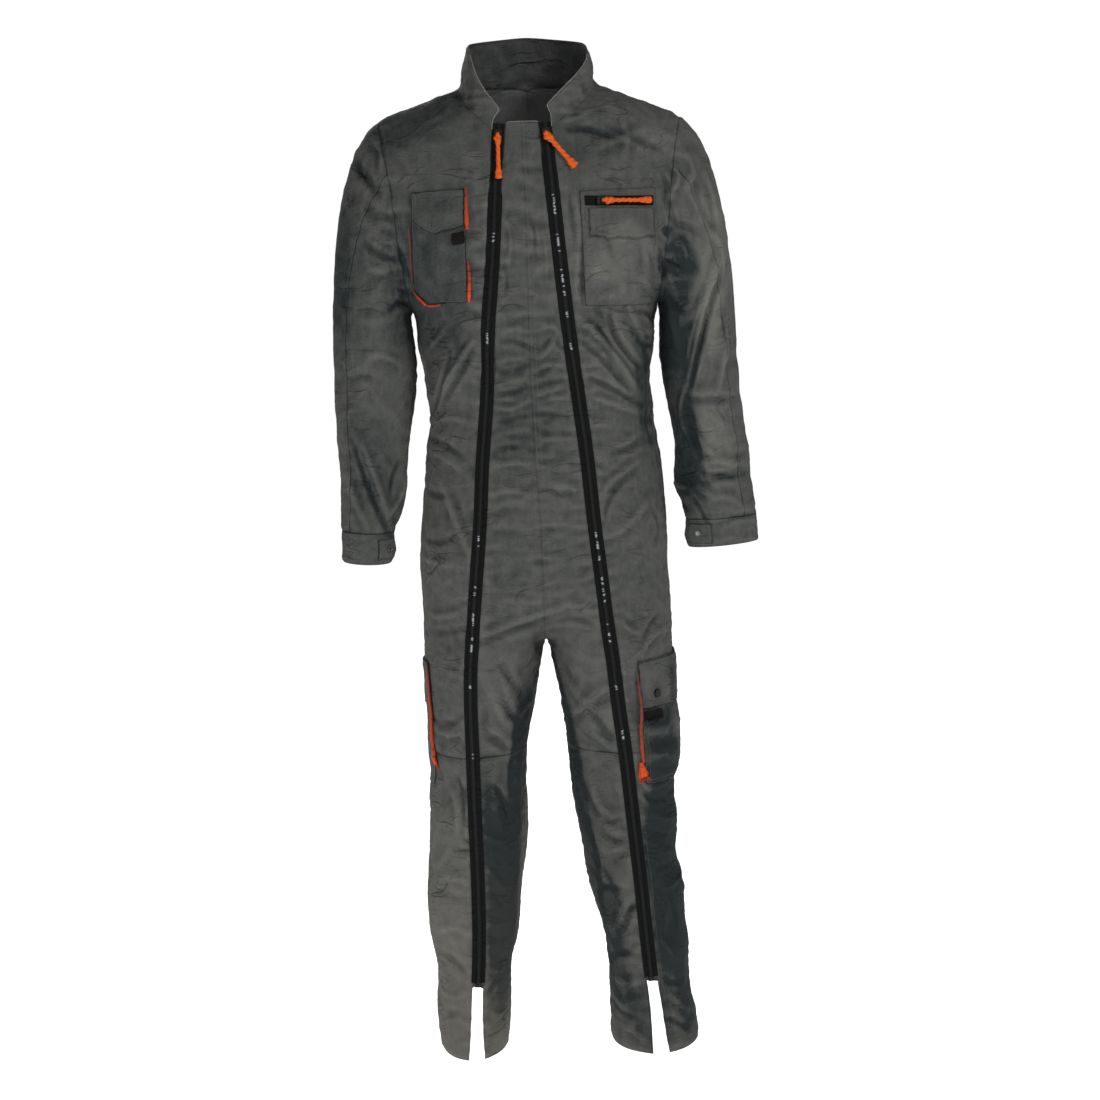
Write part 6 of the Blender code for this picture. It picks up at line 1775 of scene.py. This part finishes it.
def piping(name, grounds, radius, dull, slim=1.0, flare=0.0):
    """Tube of piping. dull says how faded its two ends are and slim how thin its start is."""
    corners, threads, frayed = 18, 16, min(flare, 1)
    line = middle_line(name, 0.002)
    placed = [ground_point(p, grounds, 0.0002) for p in line]
    line = eased([tuple(p) for p, _ in placed], 60 if len(placed) > 40 else 8)
    frames = frames_along(line, [n for _, n in placed])
    rows = len(line) - 1

    def section(i, j):
        t = j / rows
        angle = 2 * math.pi * i / corners
        taper = (slim + (1 - slim) * t) * min(1.0, 0.45 + 4 * t + 9 * (flare > 0))
        taper *= 1 - 0.35 * max(0.0, t * 8 - 7) * (flare == 0)
        wobble = 1 + 0.25 * noise.noise(Vector((line[j][0] * 300, line[j][2] * 300, 0)))
        strands = math.cos(6 * angle)
        size = radius * taper * wobble * (1 + 0.25 * frayed * t * strands)
        # Painted highlight on the piping's top and painted shade underneath and between its frayed
        # strands.
        worn = 0.55 + 0.4 * math.sin(angle) + 0.35 * frayed * strands
        return (size * (1 + flare * t) * math.cos(angle),
                size * (1 - 0.3 * frayed * t) * (0.35 + math.sin(angle)), worn)

    parts = [swept(frames, section, corners, True)]
    if flare:
        spread = radius * (1 + flare) * 0.9
        parts += [strand(frames[-1], k, threads, spread) for k in range(threads)]
    piece = add_piece("cord_" + name, gathered(parts), piping_cloth)
    points = points_of(piece.data)
    way = line[-1] - line[0]
    share = np.clip((points - line[0]) @ way / (way @ way), 0, 1)
    none = np.zeros(len(points))
    store(piece.data, dust=dull[0] + (dull[1] - dull[0]) * share, seam=none, shade=none)
    shown(piece, name)
    print(name, "%.3f m" % float(np.linalg.norm(np.diff(line, axis=0), axis=1).sum()))


piping("piping_upper", chest_ground, 0.0030, (1.0, 0.25), slim=0.8)
piping("piping_lower", chest_ground, 0.0029, (0.8, 0.0), slim=0.6)
piping("piping_edge", chest_ground, 0.0013, (0.95, 1.0))
piping("piping_corner", chest_ground, 0.0026, (0.7, 0.0), slim=0.5)
piping("piping_foot", chest_ground, 0.0017, (0.1, 0.7))
for side in ("right", "left"):
    ground = (cloth_ground, patches["thigh_pocket_" + side], patches["thigh_flap_" + side])
    faded = (1.0, 0.60) if side == "left" else (0.8, 0.1)
    piping("piping_thigh_" + side, ground, 0.0031, faded, slim=0.5)
    piping("piping_end_" + side, ground, 0.0032, (0.35, 0.0), flare=1.3)

# %% [markdown]
# ## Press studs
# A press stud's cap is a shallow turned disc with a rolled rim. Its section is drawn once, from
# the middle outwards, and spun round.

# %% Turn the studs
stud_section = ((0.0, 0.82), (0.35, 0.86), (0.62, 0.78), (0.72, 0.70), (0.80, 0.92), (0.90, 1.0),
                (0.98, 0.80), (1.0, 0.40), (0.97, -1.0))


def stud(name, radius, height, grounds, material):
    """Press stud's cap on top of its cloth."""
    seat = 0.0012
    middle = corners_of(name).mean(axis=0)
    place, normal = grounds[-1].tree.find_nearest(Vector(middle))[:2]
    axis = Vector(axes_of(name)[2][2])
    normal = (normal + axis * (0.9 if axis.y < 0 else -0.9)).normalized()
    place += normal * (grounds[-1].wall + seat)
    bm = bmesh.new()
    ring = [bm.verts.new((r * radius, 0, h * height)) for r, h in stud_section]
    lines = [bm.edges.new(pair) for pair in zip(ring, ring[1:])]
    bmesh.ops.spin(bm, geom=ring + lines, cent=(0, 0, 0), axis=(0, 0, 1), dvec=(0, 0, 0),
                   angle=2 * math.pi, steps=32, use_merge=True, use_duplicate=False)
    bmesh.ops.remove_doubles(bm, verts=bm.verts, dist=1e-6)
    bmesh.ops.recalc_face_normals(bm, faces=bm.faces)
    turn = normal.to_track_quat("Z", "Y").to_matrix().to_4x4()
    bmesh.ops.transform(bm, matrix=Matrix.Translation(place) @ turn, verts=bm.verts)
    piece = add_piece("cap_" + name, bm, material)
    shown(piece, name)


for side in ("right", "left"):
    cuff_ground = (cloth_ground, patches["cuff_tab_" + side])
    stud("cuff_stud_" + side, 0.0045, 0.0016, cuff_ground, nickel)
stud("thigh_stud_left", 0.0065, 0.0024, thigh_ground, lacquer)
for name in ("slider_right", "slider_left", "slider_chest", "zip_stop_right", "zip_stop_left"):
    nodes[name].data.materials.clear()
    nodes[name].data.materials.append(lacquer)

# %% [markdown]
# ## Rows of stitches
# The rows follow what a machinist would sew: a double row down the centre seam and along the
# side seams, one row a presser foot's width from each zip, a deep one for each hem, and rows
# round every pocket and flap. A pale overlock thread shows where the neckline was neatened.

# %% Sew beside the seams
def runs(line, wanted):
    """Parts of a path where a test holds."""
    part = []
    for point, good in zip(line, wanted):
        if good:
            part.append(point)
        elif part:
            yield np.array(part)
            part = []
    if part:
        yield np.array(part)


def steepness(line):
    """How upright a path is at each of its points, from 0 to 1."""
    way = np.gradient(line, axis=0)
    return abs(way[:, 2]) / np.maximum(np.linalg.norm(way, axis=1), 1e-9)


def on_panel(line, number):
    """Share of a path's points that lie on a panel."""
    found = [panel_of[skin_tree.find_nearest(Vector(p))[2]] == number for p in line[::5]]
    return sum(found) / len(found)


def stitch_seam(sides, panel, gaps, colour="thread", test=None):
    """Rows of stitches on one panel, beside its seam with another or its open edge."""
    number = panel_names.index(panel)
    for path in paths.get(tuple(sorted(sides)), []):
        if len(path) < 8:
            continue
        whole = spaced(eased(skin_points[path], 5), 0.005)
        wanted = test(whole) if test else np.ones(len(whole), bool)
        for line in runs(whole, wanted):
            if len(line) < 4:
                continue
            for gap in gaps:
                rows = [beside(line, turn, gap) for turn in (1, -1)]
                sew(max(rows, key=lambda row: on_panel(row, number)), colour)


def upright(line):
    return steepness(line) > 0.8


def hem(line):
    return (steepness(line) < 0.7) & (line[:, 2] < -1.40)


def neckline(line):
    return (line[:, 2] > -0.075) & (steepness(line) < 0.8)


def collar_front(line):
    return (line[:, 1] < -0.02) & (line[:, 2] < 0.075)


single, double = (0.0020,), (0.0022, 0.0085)
stitch_seam(("front_inner_left", "front_inner_right"), "front_inner_left", (0.0030, 0.0095))
stitch_seam(("back_upper_left", "back_upper_right"), "back_upper_left", double)
stitch_seam(("back_leg_left", "back_leg_right"), "back_leg_left", double)
stitch_seam(("collar",), "collar", (0.0060,))
stitch_seam(("collar",), "collar", (0.0014,), "pale", collar_front)
for side in ("right", "left"):
    def own(part):
        return part + "_" + side
    for part in ("front_inner", "front_outer", "lower_leg_inner", "lower_leg_outer"):
        stitch_seam((own(part),), own(part), (0.0080,), test=upright)
    for part in ("lower_leg_inner", "lower_leg_outer", "back_leg"):
        stitch_seam((own(part),), own(part), (0.0180,), test=hem)
    stitch_seam((own("front_inner"),), own("front_inner"), (0.0014,), "pale", neckline)
    for body in ("front_outer", "back_upper"):
        stitch_seam(("collar", own(body)), "collar", single)
        stitch_seam((own(body), own("upper_sleeve")), own(body), (0.0060,))
        stitch_seam((own(body), own("under_sleeve")), own(body), (0.0060,))
    stitch_seam((own("front_outer"), own("back_upper")), own("front_outer"), double)
    stitch_seam((own("upper_sleeve"), own("under_sleeve")), own("upper_sleeve"), (0.0018,))
    for front in ("front_outer", "lower_leg_outer", "front_inner", "lower_leg_inner"):
        stitch_seam((own(front), own("back_leg")), own(front), double)
    stitch_seam((own("front_inner"), own("lower_leg_inner")), own("lower_leg_inner"), single)
    stitch_seam((own("front_outer"), own("lower_leg_outer")), own("lower_leg_outer"), single)
    stitch_seam((own("back_upper"), own("back_leg")), own("back_leg"), double)
    for sleeve in ("upper_sleeve", "under_sleeve"):
        stitch_seam((own("cuff"), own(sleeve)), own("cuff"), (0.0018,))
    stitch_seam((own("cuff"),), own("cuff"), (0.0028,))
print("rows along seams:", len(stitch_lines["thread"]), "and", len(stitch_lines["pale"]), "pale")


# %% Sew round the pockets
def stitch_patch(name, gaps):
    """Rows of stitches inside a patch's outline."""
    layer = patches[name]
    outline = spaced(layer.outline, 0.003)
    rim = tree_of([Vector(p) for p in outline])
    for gap in gaps:
        rows = [beside(outline, turn, gap, layer.tree) for turn in (1, -1)]
        row = min(rows, key=lambda r: np.linalg.norm(r - layer.middle, axis=1).sum())
        wanted = [rim.find(Vector(p))[2] > gap * 0.85 for p in row]
        for part in runs(row, wanted):
            sew(part, "thread", layer.tree, layer.wall)


for side in ("right", "left"):
    stitch_patch("chest_pocket_" + side, (0.0018,))
    stitch_patch("thigh_pocket_" + side, (0.0018, 0.0080))
    stitch_patch("chest_flap_" + side, (0.0018, 0.0075))
    stitch_patch("thigh_flap_" + side, (0.0018, 0.0075))
    stitch_patch("cuff_tab_" + side, single)
pleat_top, pleat_foot = (0.1375, -0.12, -0.236), (0.1390, -0.12, -0.327)
pleat = np.linspace(pleat_top, pleat_foot, 20)
pocket = patches["chest_pocket_left"]
pleat = np.array([on_skin(point, pocket.tree)[0] for point in pleat])
sew(pleat, "thread", pocket.tree, pocket.wall)

for colour, material, half in (("thread", thread, thread_half), ("pale", pale_thread, pale_half)):
    rows = [stitch_row(*row, half, stitch_length) for row in stitch_lines[colour]]
    piece = add_piece("stitches_" + colour, gathered(rows), material)
    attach(piece, "suit")
    print("stitches", colour, len(piece.data.polygons), "faces")

# %% [markdown]
# ## Finish
# The joined skin is taken away, now that every panel has been parted from it.

# %% Finish
bpy.data.objects.remove(skin)
